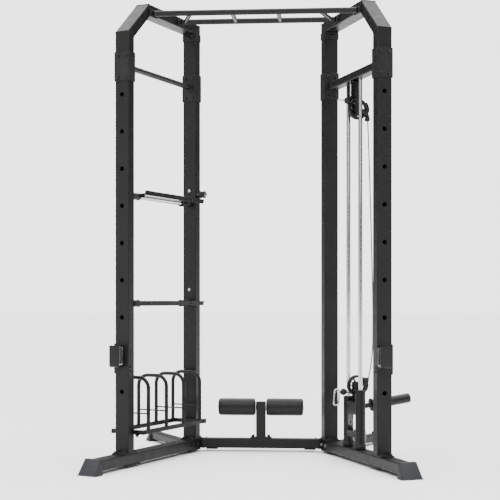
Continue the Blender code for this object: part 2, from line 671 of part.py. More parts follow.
def ball_stop(name, center, rubber, side):
    """A rubber ball on the cable's end, flat where the cable and the eye meet it."""
    out, z = center
    r = BALL_RADIUS
    turns = [radians(a) for a in (-BALL_FLAT, -40, -14, 14, 40, BALL_FLAT)]
    profile = [(r * cos(t), r + r * sin(t)) for t in turns]
    return turned(name, profile, (out - r, PULLEY_AT, z), (out + r, PULLEY_AT, z), rubber, side, count=14)


def cable_eye(chrome, side):
    """The level steel loop on the cable's upper end."""
    out, z = UPPER_BALL
    tip = out - BALL_RADIUS - EYE_WIRE
    start, end = tip - EYE_HALF, tip - EYE_LENGTH + EYE_HALF
    outline = arc((start, PULLEY_AT), EYE_HALF, -90, 90, 8) + arc((end, PULLEY_AT), EYE_HALF, 90, 270, 8)
    swept("upper_cable_eye", [(x, y, z) for x, y in outline], [round_section(EYE_WIRE, 8)], chrome, side,
          closed=True, smooth=True)


def carabiner(name, eye, direction, chrome, side):
    """A snap hook: a long loop of wire from the eye, in the wheels' plane, with a hinged gate."""
    eye, direction = Vector(eye), Vector(direction).normalized()
    across = Vector((direction.z, 0, -direction.x))
    half, length, wire = HOOK_HALF, HOOK_LENGTH, HOOK_WIRE
    gate_low, gate_high = HOOK_GATE
    outline = [(gate_high, half)] + arc((length - half, 0), half, 90, -90, 8)
    outline += arc((half, 0), half, -90, -270, 8) + [(gate_low, half)]
    path = [eye + direction * a + across * b for a, b in outline]
    swept(name, path, [round_section(wire, 8)], chrome, side, smooth=True)
    start, end = (eye + direction * a + across * half
                  for a in (gate_low + GATE_PIVOT_GAP, gate_high - GATE_TIP_GAP))
    rod(f"{name}_gate", start, end, wire - GATE_THINNER, chrome, side, count=10)


# ---------------------------------------------------------------- J-cups and rollers
def j_cup(side, paint):
    """A hook on an upright: back plate, floor and lip, two cheeks beside the tube, and a pin."""
    name = f"{side.name}_j_cup"
    face = -TUBE_DEEP / 2 - GAP
    lip = face - CUP_REACH
    underside, floor = CUP_FLOOR
    hook = [(face - CUP_THICK / 2, floor + CUP_FLOOR_RISE), (lip + CUP_THICK, floor),
            (lip + CUP_THICK, CUP_LIP_TOP), (lip, CUP_LIP_TOP), (lip, underside),
            (face - CUP_THICK / 2, underside + CUP_FLOOR_RISE)]
    item = prism(name, hook, CUP_SHIFT - CUP_LIP_HALF, CUP_SHIFT + CUP_LIP_HALF, paint, side)
    half = TUBE_WIDE / 2 + GAP + CHEEK_THICK
    back = box(f"{name}_back_tool", (-half, face - CUP_THICK, CUP_BACK[0]), (half, face, CUP_BACK[1]),
               paint, side)
    combine(item, back)
    for label, low in (("inner", -half), ("outer", half - CHEEK_THICK)):
        cheek = box(f"{name}_{label}_cheek_tool", (low, face - CUP_THICK / 2, CUP_BACK[0]),
                    (low + CHEEK_THICK, face + CHEEK_DEEP, CHEEK_TOP), paint, side)
        combine(item, cheek)
    z = HOLE_TOP_Z - CUP_PIN_HOLE * HOLE_PITCH
    pin = rod(f"{name}_pin_tool", (0, face - CUP_THICK / 2, z), (0, face + CUP_PIN_LENGTH, z),
              HOLE_RADIUS - 0.001, paint, side, count=12)
    combine(item, pin)
    return item


def roller_stand(paint, foam, chrome):
    """A post on the crossmember with an axle and two foam rollers."""
    y = CROSS_MID_Y
    bottom = RAIL_TOP + GAP
    bore = ROLLER_AXLE + ROLLER_GAP
    stand = post("roller_post", 0, y, bottom, POST_TOP, paint, None, POST_WIDE, POST_DEEP)
    inside = (POST_WIDE - 2 * WALL, POST_DEEP - 2 * WALL)
    loops = [rectangle(*POST_FOOT, 0), rectangle(*POST_FOOT, FLANGE_THICK),
             rectangle(*inside, FLANGE_THICK), rectangle(*inside, 0)]
    foot = place("roller_post_foot_tool", mesh_from_loops("foot", loops, hollow=True), paint, None,
                 Matrix.Translation((0, y, bottom)))
    combine(stand, foot)
    hole = rod("roller_post_hole_tool", (-POST_WIDE, y, ROLLER_Z), (POST_WIDE, y, ROLLER_Z), bore, paint)
    combine(stand, hole, "DIFFERENCE")
    reach = ROLLER_OUTER + 0.004
    rod("roller_axle", (-reach, y, ROLLER_Z), (reach, y, ROLLER_Z), ROLLER_AXLE, chrome)
    length = ROLLER_OUTER - ROLLER_INNER
    profile = [(ROLLER_RADIUS - ROLLER_EDGE, 0), (ROLLER_RADIUS, ROLLER_EDGE),
               (ROLLER_RADIUS, length - ROLLER_EDGE), (ROLLER_RADIUS - ROLLER_EDGE, length)]
    for sign, label in ((-1, "left"), (1, "right")):
        turned(f"{label}_foam_roller", profile, (sign * ROLLER_INNER, y, ROLLER_Z),
               (sign * ROLLER_OUTER, y, ROLLER_Z), foam, count=24, bore=bore)


# ---------------------------------------------------------------- assembly
def build():
    clear_scene()
    material = {name: make_material(name) for name in MATERIALS}
    paint, chrome, rubber = material["black_steel"], material["chrome"], material["rubber"]
    left, right = make_side("left", -1), make_side("right", 1)
    for side, sign in ((left, -1), (right, 1)):
        base_rail(side, paint)
        boot(f"{side.name}_front_foot", RAIL_FRONT, FOOT_HEIGHT, TUBE_WIDE, material["boot"], side, -1)
        rear_leg(side, sign, paint, material["boot"])
        upright(side, "front", 0, paint, with_holes=True)
        upright(side, "rear", SIDE_LENGTH, paint, with_holes=False)
        top_frame(side, paint)
        collar(side, "front", 0, paint)
        collar(side, "rear", SIDE_LENGTH, paint)
        j_cup(side, paint)
    crossmember(paint)
    pull_up_ladder(paint)
    grip_bar(left, paint)
    plate_rack(left, paint)
    for level in SPOTTERS:
        spotter(left, level, chrome, paint)
    pull_pin(left, paint)
    pulley_beam(right, paint)
    guide_rods(right, chrome, rubber)
    pulley_bracket("upper_pulley_bracket", UPPER_WHEEL, BEAM_BOTTOM - GAP, UPPER_STRAP_END, paint, right)
    pulley_bracket("lower_pulley_bracket", LOWER_WHEEL, BRIDGE[1] + GAP, LOWER_STRAP_END, paint, right)
    pulley_wheel("upper_pulley_wheel", UPPER_WHEEL, material["pulley_plastic"], right)
    pulley_wheel("lower_pulley_wheel", LOWER_WHEEL, material["pulley_plastic"], right)
    cable_stop(paint, right)
    carriage(right, paint)
    loading_peg(right, paint)
    cable(right, material["cable"])
    ball_stop("upper_ball_stop", UPPER_BALL, rubber, right)
    ball_stop("lower_ball_stop", LOWER_BALL, rubber, right)
    cable_eye(chrome, right)
    out, z = LOWER_BALL
    eye = (out - BALL_RADIUS - HOOK_HALF - HOOK_WIRE - GAP, PULLEY_AT, z + HOOK_HALF)
    carabiner("lower_carabiner", eye, (-0.08, 0, -1), chrome, right)
    roller_stand(paint, material["foam"], chrome)
    bpy.context.view_layer.update()


build()
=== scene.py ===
"""Looks of the power cage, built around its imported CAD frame.

The two side frames stand turned about Z, so most pieces are laid out on a Side, which
turns a distance out of the cage, a distance along the side from its front upright and a
height above the floor into a point of the frame. Sizes are in metres.
"""
from math import acos, atan2, ceil, cos, hypot, pi, radians, sin, tan

import bmesh
import bpy
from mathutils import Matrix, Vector, noise


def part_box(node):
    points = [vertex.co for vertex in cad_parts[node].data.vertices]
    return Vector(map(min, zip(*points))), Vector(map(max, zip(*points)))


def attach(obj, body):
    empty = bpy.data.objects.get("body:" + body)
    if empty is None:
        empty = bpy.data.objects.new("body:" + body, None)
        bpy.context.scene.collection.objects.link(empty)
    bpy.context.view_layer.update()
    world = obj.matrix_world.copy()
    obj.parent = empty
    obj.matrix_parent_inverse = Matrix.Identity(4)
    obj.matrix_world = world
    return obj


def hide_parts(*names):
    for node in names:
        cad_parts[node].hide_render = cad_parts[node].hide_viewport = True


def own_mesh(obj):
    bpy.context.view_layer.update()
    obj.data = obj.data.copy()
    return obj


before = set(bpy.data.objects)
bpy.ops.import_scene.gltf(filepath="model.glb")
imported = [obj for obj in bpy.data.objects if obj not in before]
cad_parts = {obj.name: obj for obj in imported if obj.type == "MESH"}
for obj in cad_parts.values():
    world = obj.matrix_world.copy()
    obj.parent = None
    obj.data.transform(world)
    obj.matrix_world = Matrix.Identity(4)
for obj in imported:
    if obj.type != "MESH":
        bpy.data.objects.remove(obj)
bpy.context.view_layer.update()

UP = Vector((0, 0, 1))
RIGHTWARD = Vector((1, 0, 0))


def middle(node):
    low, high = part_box(node)
    return (low + high) / 2


def bottom(node):
    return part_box(node)[0].z


def top(node):
    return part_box(node)[1].z


# ---------------------------------------------------------------- sizes
FRONT_UPRIGHT, REAR_UPRIGHT = middle("right_front_upright"), middle("right_rear_upright")
SPLAY = atan2(FRONT_UPRIGHT.x - REAR_UPRIGHT.x, REAR_UPRIGHT.y - FRONT_UPRIGHT.y)
SIDE_LENGTH = hypot(FRONT_UPRIGHT.x - REAR_UPRIGHT.x, REAR_UPRIGHT.y - FRONT_UPRIGHT.y)

WIDE, DEEP, WALL, CORNER = 0.075, 0.050, 0.0025, 0.0042
GAP = 0.0003                           # between touching pieces
FACE_U = DEEP / 2                      # from an upright's middle to its front and rear faces
FACE_W = WIDE / 2                      # and to its outer and inner faces
RAIL_LOW, RAIL_HIGH = bottom("left_base_rail"), top("left_base_rail")
RAIL_MID = (RAIL_LOW + RAIL_HIGH) / 2
RAIL_ENDS = (-0.255, 0.700)            # along the side
JOINT_Z = top("left_front_upright")
KNEE_Z, SLANT_RUN = 2.045, 0.165
TOP_Z = top("left_top_frame")
TOP_MID = TOP_Z - DEEP / 2
HOLE_RADIUS, HOLE_PITCH, HOLE_TOP, HOLE_COUNT = 0.0114, 0.175, 1.759, 9
COLLAR_LOW, COLLAR_HIGH = bottom("left_front_collar"), top("left_front_collar")
COLLAR_WALL = 0.004
FLANGE_LONG, FLANGE_THICK = 0.118, 0.005

LEG_START, LEG_LENGTH, LEG_TURN = 0.650, 0.452, radians(30.1)
LEG_WIDE, LEG_TALL, LEG_LOW = 0.050, 0.040, 0.014
CROSS_Y = middle("rear_crossmember").y
CROSS_PAD_AT = 0.257

BAR_RADIUS = 0.0138
FRONT_BAR, REAR_BAR = middle("front_pull_up_bar"), middle("rear_pull_up_bar")
STRUT_RADIUS = 0.0105
ANGLED_STRUT = (0.311, 0.370)
GRIP_Z = middle("left_grip_bar").z

BEAM_LOW, BEAM_HIGH, BEAM_WIDE = bottom("pulley_beam"), top("pulley_beam"), 0.050
ROD_AT = (0.248, 0.391)
ROD_RADIUS, SLEEVE_RADIUS, SLEEVE_LOW = 0.010, 0.0245, 0.094
SLEEVE_TOPS = (0.353, 0.313)
PULLEY_AT = 0.320
WHEEL_RADIUS, WHEEL_HALF, GROOVE_DEPTH, AXLE_RADIUS = 0.050, 0.012, 0.006, 0.006
UPPER_WHEEL, LOWER_WHEEL = (0.0194, 1.729), (0.0147, 0.372)   # out, up
UPPER_BALL, LOWER_BALL = (-0.038, 1.769), (-0.058, 0.341)
BALL_RADIUS, CABLE_RADIUS, CABLE_LIFT, CABLE_BOW = 0.0165, 0.003, 0.0016, 0.046
STRAP_MID, STRAP_HALF, STRAP_THICK, STRAP_INSIDE = 0.0100, 0.0145, 0.004, 0.017
BRIDGE_LOW, BRIDGE_HIGH, BRIDGE_HALF = 0.232, 0.292, 0.020
BRIDGES = ((BRIDGE_LOW, BRIDGE_HIGH), (0.120, 0.150))

ROLLER_Z = middle("roller_axle").z
ROLLER_RADIUS, ROLLER_INNER, ROLLER_OUTER = 0.046, 0.029, 0.222
ROLLER_BORE, ROLLER_SEAM_AT = 0.0133, 0.0145
POST_WIDE, POST_DEEP, POST_TOP = 0.050, 0.040, top("roller_post")

HOOP_AT = (0.082, 0.247, 0.412, 0.577)
HOOP_RADIUS, HOOP_HALF, HOOP_BEND = 0.0088, 0.080, 0.052
HOOP_TOP = top("plate_hoop_1") - HOOP_RADIUS
HOOP_WIRE_Z, HOOP_WIRE = 0.250, 0.0036
RACK_Z, RACK_BAR = middle("rack_base").z, 0.020

SPOTTERS = {"upper": (1.288, 1.295, 0.112), "lower": (0.7745, 0.763, 0.020)}
SPOTTER_RADIUS, SOCKET_LENGTH, POST_BOLT_UP = 0.0125, 0.093, 0.070
GUARD_TALL, GUARD_THICK, GUARD_LEAN, GUARD_PAST = 0.023, 0.006, 0.008, 0.055

CUP_LOW, CUP_HIGH, CUP_REACH, CUP_THICK = 0.445, 0.586, 0.046, 0.005
CUP_SHIFT, CUP_LIP_HALF, CUP_LIP_TOP = -0.0145, 0.0265, 0.578
CHEEK_TOP, CHEEK_DEEP, CHEEK_THICK = 0.488, 0.026, 0.003


class Side:
    """One side frame's own axes."""

    def __init__(self, name, sign):
        self.name, self.sign = name, sign
        self.out = Vector((sign * cos(SPLAY), sin(SPLAY), 0))
        self.along = Vector((-sign * sin(SPLAY), cos(SPLAY), 0))
        self.start = Vector((sign * FRONT_UPRIGHT.x, FRONT_UPRIGHT.y, 0))

    def __call__(self, out, along, up):
        return self.start + self.out * out + self.along * along + UP * up


LEFT, RIGHT = Side("left", -1), Side("right", 1)
SIDES = (LEFT, RIGHT)


# ---------------------------------------------------------------- outlines
def turns(count, first=0.0, last=2 * pi):
    return [first + (last - first) * i / count for i in range(count)]


def arc(center, radius, first, last, steps):
    """Points on an arc in a plane, from and to an angle in degrees."""
    a, b = center
    angles = [radians(first + (last - first) * i / steps) for i in range(steps + 1)]
    return [(a + radius * cos(t), b + radius * sin(t)) for t in angles]


def fillet(points, radius, steps=4, closed=True):
    """The same outline or path with its corners turned into arcs."""
    points = [Vector(p) for p in points]
    made = []
    for i, point in enumerate(points):
        if not closed and i in (0, len(points) - 1):
            made.append(point)
            continue
        before, after = points[i - 1] - point, points[(i + 1) % len(points)] - point
        half = before.angle(after) / 2
        reach = min(radius / tan(half), before.length * 0.48, after.length * 0.48)
        to_center = (before.normalized() + after.normalized()).normalized()
        center = point + to_center * (reach / cos(half))
        first = point + before.normalized() * reach - center
        last = point + after.normalized() * reach - center
        sweep_angle = pi - 2 * half
        for k in range(steps + 1):
            t = k / steps
            made.append(center + (first * sin((1 - t) * sweep_angle) + last * sin(t * sweep_angle))
                        / sin(sweep_angle))
    return made


def rectangle(wide, deep, corner=0.0, steps=4):
    points = [(sx * wide / 2, sy * deep / 2) for sx, sy in ((-1, -1), (1, -1), (1, 1), (-1, 1))]
    return fillet(points, corner, steps) if corner else [Vector(p) for p in points]


def disc(radius, count=24):
    return [Vector((radius * cos(t), radius * sin(t))) for t in turns(count)]


def laid(at, across, other, outline):
    """An outline's points in space, from a point along two directions."""
    return [at + across * a + other * b for a, b in outline]


def circle(center, first, second, radius, count):
    return [center + (first * cos(t) + second * sin(t)) * radius for t in turns(count)]


def tube_sections(wide=WIDE, deep=DEEP, corner=CORNER, wall=WALL):
    return [rectangle(wide, deep, corner), rectangle(wide - 2 * wall, deep - 2 * wall, corner - wall / 2)]


# ---------------------------------------------------------------- meshes
def skin(loops, ring=False):
    """A closed skin through equal loops of points: capped, or joined end to end."""
    bm = bmesh.new()
    rows = [[bm.verts.new(p) for p in loop] for loop in loops]
    pairs = list(zip(rows, rows[1:]))
    if ring:
        pairs.append((rows[-1], rows[0]))
    else:
        bm.faces.new(rows[0])
        bm.faces.new(rows[-1])
    for a, b in pairs:
        for i in range(len(a)):
            j = (i + 1) % len(a)
            bm.faces.new((a[i], a[j], b[j], b[i]))
    bmesh.ops.recalc_face_normals(bm, faces=bm.faces)
    mesh = bpy.data.meshes.new("skin")
    bm.to_mesh(mesh)
    bm.free()
    return mesh


def joined(meshes):
    bm = bmesh.new()
    for mesh in meshes:
        bm.from_mesh(mesh)
        bpy.data.meshes.remove(mesh)
    made = bpy.data.meshes.new("joined")
    bm.to_mesh(made)
    bm.free()
    return made


def bend_frames(path, across, closed=False):
    """For each point of a path: the point, its tangent and the stretched outward vector of its mitre."""
    made = []
    count = len(path)
    for i, point in enumerate(path):
        before = (point - path[i - 1]).normalized() if (i or closed) else None
        after = (path[(i + 1) % count] - point).normalized() if (i < count - 1 or closed) else None
        before, after = before or after, after or before
        tangent = (before + after).normalized()
        made.append((point, tangent, tangent.cross(across) / tangent.dot(before)))
    return made


def sweep(path, sections, across, closed=False):
    """A bar, or with two outlines a tube, along a path in the plane that across is square to."""
    frames = bend_frames([Vector(p) for p in path], across, closed)

    def loop(place, outline):
        point, _, outward = place
        return laid(point, across, outward, outline)

    loops = [loop(place, sections[0]) for place in frames]
    if len(sections) == 2:
        loops += [loop(place, sections[1]) for place in reversed(frames)]
    return skin(loops, ring=closed or len(sections) == 2)


def square_to(axis):
    """Two unit vectors square to an axis and to each other."""
    first = axis.cross(UP) if abs(axis.z) < 0.9 else axis.cross(RIGHTWARD)
    first.normalize()
    return first, axis.cross(first).normalized()


def turned(start, axis, profile, count=40, ring=False):
    """A turned piece: (radius, distance) pairs along an axis; a ring's profile is a closed outline."""
    axis = axis.normalized()
    first, second = square_to(axis)
    loops = []
    for radius, distance in profile:
        center = start + axis * distance
        loops.append(circle(center, first, second, radius, count))
    return skin(loops, ring)


def rod(start, end, radius, bore=0.0, edge=0.0008, count=32):
    """A round bar or tube with broken edges."""
    length = (end - start).length
    profile = [(radius - edge, 0), (radius, edge), (radius, length - edge), (radius - edge, length)]
    if bore:
        profile += [(bore + edge / 2, length), (bore, length - edge), (bore, edge), (bore + edge / 2, 0)]
    return turned(start, end - start, profile, count, ring=bool(bore))


def lofted(start, axis, across, steps, corner=0.003):
    """Rounded rectangles (wide, deep, distance) along an axis, capped: plugs, pads and blocks."""
    other = axis.cross(across)
    loops = []
    for wide, deep, distance in steps:
        center = start + axis * distance
        loops.append(laid(center, across, other, rectangle(wide, deep, corner)))
    return skin(loops)


def slab(points, push):
    """A flat outline pushed out to a plate."""
    points = [Vector(p) for p in points]
    return skin([points, [p + push for p in points]])


def drilled(mesh, tools):
    """The mesh with the tool meshes cut out of it."""
    target = bpy.data.objects.new("drill_target", mesh)
    cutter = bpy.data.objects.new("drill_tool", joined(tools))
    for item in (target, cutter):
        bpy.context.scene.collection.objects.link(item)
    cut = target.modifiers.new("cut", "BOOLEAN")
    cut.operation, cut.solver, cut.object = "DIFFERENCE", "EXACT", cutter
    bpy.context.view_layer.update()
    graph = bpy.context.evaluated_depsgraph_get()
    made = bpy.data.meshes.new_from_object(target.evaluated_get(graph))
    bpy.data.objects.remove(target)
    bpy.data.objects.remove(cutter)
    return made


def piece(name, mesh, material, *stands_for, body="frame", edge=0.0, flat=False, sharp=32):
    """One visible piece, riding on a body and standing for the CAD nodes that it replaces."""
    item = bpy.data.objects.new(name, mesh)
    bpy.context.scene.collection.objects.link(item)
    mesh.materials.clear()
    mesh.materials.append(material)
    mesh.shade_smooth()
    if edge:
        bevel = item.modifiers.new("edge", "BEVEL")
        bevel.width, bevel.segments = edge, 3
        bevel.limit_method, bevel.angle_limit = "ANGLE", radians(40)
        bevel.harden_normals = True
    else:
        mesh.set_sharp_from_angle(angle=radians(sharp))
    if flat:
        weighted = item.modifiers.new("flat_faces", "WEIGHTED_NORMAL")
        weighted.keep_sharp = True
    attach(item, body)
    if stands_for:
        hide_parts(*stands_for)
    return item


# ---------------------------------------------------------------- materials
class Look:
    """A Principled material and the nodes that feed it."""

    def __init__(self, name, metallic=0.0, specular=0.5):
        self.material = bpy.data.materials.new(name)
        self.material.use_nodes = True
        self.tree = self.material.node_tree
        self.shader = self.tree.nodes["Principled BSDF"]
        self.shader.inputs["Metallic"].default_value = metallic
        self.shader.inputs["Specular IOR Level"].default_value = specular
        self.place = self.tree.nodes.new("ShaderNodeTexCoord").outputs["Object"]
        self.normal = None

    def add(self, kind, inputs=(), **settings):
        made = self.tree.nodes.new(kind)
        for key, value in settings.items():
            setattr(made, key, value)
        for key, value in dict(inputs).items():
            if isinstance(value, bpy.types.NodeSocket):
                self.tree.links.new(value, made.inputs[key])
            else:
                made.inputs[key].default_value = value
        return made

    def stretched(self, scale):
        return self.add("ShaderNodeMapping", {"Vector": self.place, "Scale": scale}).outputs[0]

    def noise(self, scale, detail=3.0, place=None):
        inputs = {"Vector": place or self.place, "Scale": scale, "Detail": detail}
        return self.add("ShaderNodeTexNoise", inputs).outputs[0]

    def color(self, value, *stops):
        """Base colour from a 0 to 1 value; stops are (position, (r, g, b))."""
        ramp = self.add("ShaderNodeValToRGB", {0: value})
        elements = ramp.color_ramp.elements
        while len(elements) < len(stops):
            elements.new(0.5)
        for element, (position, rgb) in zip(elements, stops):
            element.position = position
            element.color = (*rgb, 1)
        self.tree.links.new(ramp.outputs["Color"], self.shader.inputs["Base Color"])

    def ranged(self, value, low, high, source=(0.3, 0.7)):
        inputs = {0: value, 1: source[0], 2: source[1], 3: low, 4: high}
        return self.add("ShaderNodeMapRange", inputs).outputs[0]

    def roughness(self, value, low, high):
        self.tree.links.new(self.ranged(value, low, high), self.shader.inputs["Roughness"])

    def bump(self, height, distance, strength=1.0):
        inputs = {"Height": height, "Distance": distance, "Strength": strength}
        if self.normal:
            inputs["Normal"] = self.normal
        self.normal = self.add("ShaderNodeBump", inputs).outputs[0]
        self.tree.links.new(self.normal, self.shader.inputs["Normal"])


def powder_coat(name, dark, light, rough=(0.34, 0.46)):
    """Satin powder coat: a fine orange peel, cloudy gloss and faint dust."""
    look = Look(name, specular=0.22)
    cloud = look.noise(5.0, 4.0)
    look.color(cloud, (0.34, dark), (0.66, light))
    look.roughness(look.noise(38.0, 5.0), *rough)
    look.bump(look.noise(620.0, 2.0), 0.00022, 0.5)
    look.bump(look.noise(2600.0, 1.0), 0.00005, 0.35)
    return look.material


def moulded(name, dark, light, rough, grain, depth):
    """Plastic or rubber with a fine spark-eroded grain."""
    look = Look(name, specular=0.25)
    look.color(look.noise(14.0, 4.0), (0.35, dark), (0.65, light))
    look.roughness(look.noise(60.0, 3.0), *rough)
    look.bump(look.noise(grain, 3.0), depth, 0.6)
    return look.material


def plated(name, dark, light, rough, lay):
    """Plated or polished steel; lay stretches the polishing marks."""
    look = Look(name, metallic=1.0)
    marks = look.noise(1.0, 4.0, look.stretched(lay))
    look.color(look.noise(9.0, 3.0), (0.35, dark), (0.65, light))
    look.roughness(marks, *rough)
    look.bump(marks, 0.000012, 0.2)
    return look.material


def vinyl(name):
    """Black upholstery vinyl: pebble grain over soft creases."""
    look = Look(name, specular=0.22)
    cells = look.add("ShaderNodeTexVoronoi", {"Vector": look.place, "Scale": 620.0},
                     feature="DISTANCE_TO_EDGE").outputs[0]
    look.color(look.noise(22.0, 4.0), (0.3, (0.0020, 0.0020, 0.0024)), (0.7, (0.0045, 0.0045, 0.0054)))
    look.roughness(look.noise(120.0, 4.0), 0.27, 0.40)
    look.bump(look.ranged(cells, 0.0, 1.0, (0.0, 0.12)), 0.00012, 0.5)
    look.bump(look.noise(26.0, 2.0), 0.0012, 0.25)
    return look.material


def coated_wire(name):
    """Nylon over laid steel strands."""
    look = Look(name)
    strands = look.add("ShaderNodeTexWave", {"Vector": look.place, "Scale": 130.0, "Distortion": 0.4},
                       bands_direction="Z").outputs[1]
    look.color(strands, (0.2, (0.035, 0.035, 0.038)), (0.8, (0.11, 0.11, 0.115)))
    look.roughness(look.noise(90.0, 3.0), 0.22, 0.36)
    look.bump(strands, 0.0003, 0.4)
    return look.material


PAINT = powder_coat("powder_coat", (0.0022, 0.0020, 0.0019), (0.0048, 0.0042, 0.0038))
PLATE_PAINT = powder_coat("plate_coat", (0.0052, 0.0050, 0.0050), (0.0095, 0.0090, 0.0088), (0.36, 0.50))
WELD_PAINT = powder_coat("weld_coat", (0.0055, 0.0052, 0.0051), (0.0105, 0.0100, 0.0096), (0.28, 0.40))
BLACK_BOLT = powder_coat("black_bolt", (0.0040, 0.0040, 0.0042), (0.0085, 0.0085, 0.0088), (0.24, 0.38))
BOOT = moulded("boot_plastic", (0.0105, 0.0112, 0.0135), (0.0150, 0.0160, 0.0190), (0.42, 0.56), 900.0,
               0.00022)
RUBBER = moulded("black_rubber", (0.0045, 0.0045, 0.0045), (0.0085, 0.0085, 0.0085), (0.55, 0.72), 700.0,
                 0.0003)
NYLON = moulded("pulley_nylon", (0.0045, 0.0045, 0.0048), (0.0085, 0.0085, 0.0092), (0.24, 0.36), 500.0,
                0.0001)
CHROME = plated("chrome_plate", (0.44, 0.435, 0.42), (0.56, 0.55, 0.53), (0.10, 0.20), (90, 90, 900))
ZINC = plated("zinc_plate", (0.30, 0.30, 0.31), (0.46, 0.46, 0.45), (0.24, 0.38), (300, 300, 300))
LINER = plated("liner_steel", (0.24, 0.24, 0.24), (0.36, 0.36, 0.35), (0.24, 0.36), (60, 60, 700))
VINYL = vinyl("roller_vinyl")
WIRE = coated_wire("coated_cable")


# ---------------------------------------------------------------- fasteners and welds
def hex_bolt(at, axis, size):
    """Washer and hexagonal head standing on a face; size is the thread's radius."""
    washer = [(size * 1.9, 0), (size * 2.05, size * 0.12), (size * 2.05, size * 0.3),
              (size * 1.95, size * 0.38)]
    head = [(size * 1.75, size * 0.38), (size * 1.85, size * 0.5), (size * 1.85, size * 1.45),
            (size * 1.6, size * 1.65)]
    return [turned(at, axis, washer, 28), turned(at, axis, head, 6)]


def dome_bolt(at, axis, size):
    """Button head with a socket."""
    head = [(size * 1.9, 0), (size * 1.95, size * 0.3), (size * 1.85, size * 0.8),
            (size * 1.55, size * 1.25),
            (size * 1.1, size * 1.52), (size * 0.72, size * 1.6), (size * 0.62, size * 1.56), (size * 0.56,
            size)]
    return [turned(at, axis, head, 28)]


def lock_nut(at, axis, size):
    """Washer, lock nut and the end of a threaded stud."""
    washer = [(size * 1.95, 0), (size * 2.1, size * 0.12), (size * 2.1, size * 0.3),
              (size * 2.0, size * 0.38)]
    nut = [(size * 1.7, size * 0.38), (size * 1.85, size * 0.55), (size * 1.85, size * 1.5),
           (size * 1.6, size * 1.7)]
    collar = [(size * 1.5, size * 1.7), (size * 1.5, size * 2.0), (size * 1.3, size * 2.15)]
    stud = []
    for k in range(6):
        stud += [(size * 0.98, size * (2.1 + 0.16 * k)), (size * 0.84, size * (2.18 + 0.16 * k))]
    return [turned(at, axis, washer, 28), turned(at, axis, nut, 6), turned(at, axis, collar, 24),
            turned(at, axis, stud, 16)]


def fasteners(name, spots, axis, size, material, body="frame", kind=hex_bolt):
    """A group of equal fasteners on faces that all look along axis."""
    meshes = []
    for spot in spots:
        meshes += kind(spot, axis.normalized(), size)
    return piece(name, joined(meshes), material, body=body)


def evenly(points, spacing, closed):
    """Points at equal steps along a path."""
    path = [Vector(p) for p in points]
    if closed:
        path.append(path[0])
    lengths = [0.0]
    for a, b in zip(path, path[1:]):
        lengths.append(lengths[-1] + (b - a).length)
    count = max(4, ceil(lengths[-1] / spacing))
    made = []
    k = 0
    for i in range(count + (0 if closed else 1)):
        goal = lengths[-1] * i / count
        while k < len(path) - 2 and lengths[k + 1] < goal:
            k += 1
        share = (goal - lengths[k]) / max(1e-9, lengths[k + 1] - lengths[k])
        made.append(path[k].lerp(path[k + 1], share))
    return made


def bead(points, across, size=0.0022, closed=True, ripple=0.0042):
    """A weld bead: a low round seam with the ripples of the arc."""
    path = evenly(points, ripple / 3, closed)
    loops = []
    for i, (point, _, outward) in enumerate(bend_frames(path, across, closed)):
        outward = outward.normalized()
        swell = size * (1 + 0.2 * sin(2 * pi * i / 3))
        loops.append([point + (across * cos(t) + outward * sin(t)) * swell for t in turns(6)])
    return skin(loops, ring=closed)


def welds(name, meshes, body="frame"):
    return piece(name, joined(meshes), WELD_PAINT, body=body, sharp=80)


def upright_ring(side, along, up, grow=0.0006):
    """The outline of an upright at a height."""
    outline = rectangle(WIDE + 2 * grow, DEEP + 2 * grow, CORNER)
    return [side(a, along + b, up) for a, b in outline]


# ---------------------------------------------------------------- base
def base_rail(side):
    name = side.name
    start, end = side(0, RAIL_ENDS[0], RAIL_MID), side(0, RAIL_ENDS[1], RAIL_MID)
    piece(f"{name}_rail_tube", sweep([start, end], tube_sections(), side.out), PAINT,
          f"{name}_base_rail", flat=True)
    plug = [(WIDE - 0.002, DEEP - 0.002, 0.0002), (WIDE - 0.001, DEEP - 0.001, 0.0012),
            (WIDE - 0.001, DEEP - 0.001, 0.0028), (WIDE - 0.006, DEEP - 0.006, 0.0042)]
    piece(f"{name}_rail_plug", lofted(end, side.along, side.out, plug, 0.005), RUBBER)
    thick = 0.0045
    for label, along, half_long in (("front", 0.016, 0.062), ("rear", SIDE_LENGTH - 0.03, 0.06)):
        outline = [side(a, along + b, RAIL_LOW - thick) for a, b in rectangle(WIDE + 0.004, 2 * half_long,
                0.004)]
        piece(f"{name}_{label}_tie_plate", slab(outline, UP * (thick - 0.0002)), PLATE_PAINT, edge=0.0008)


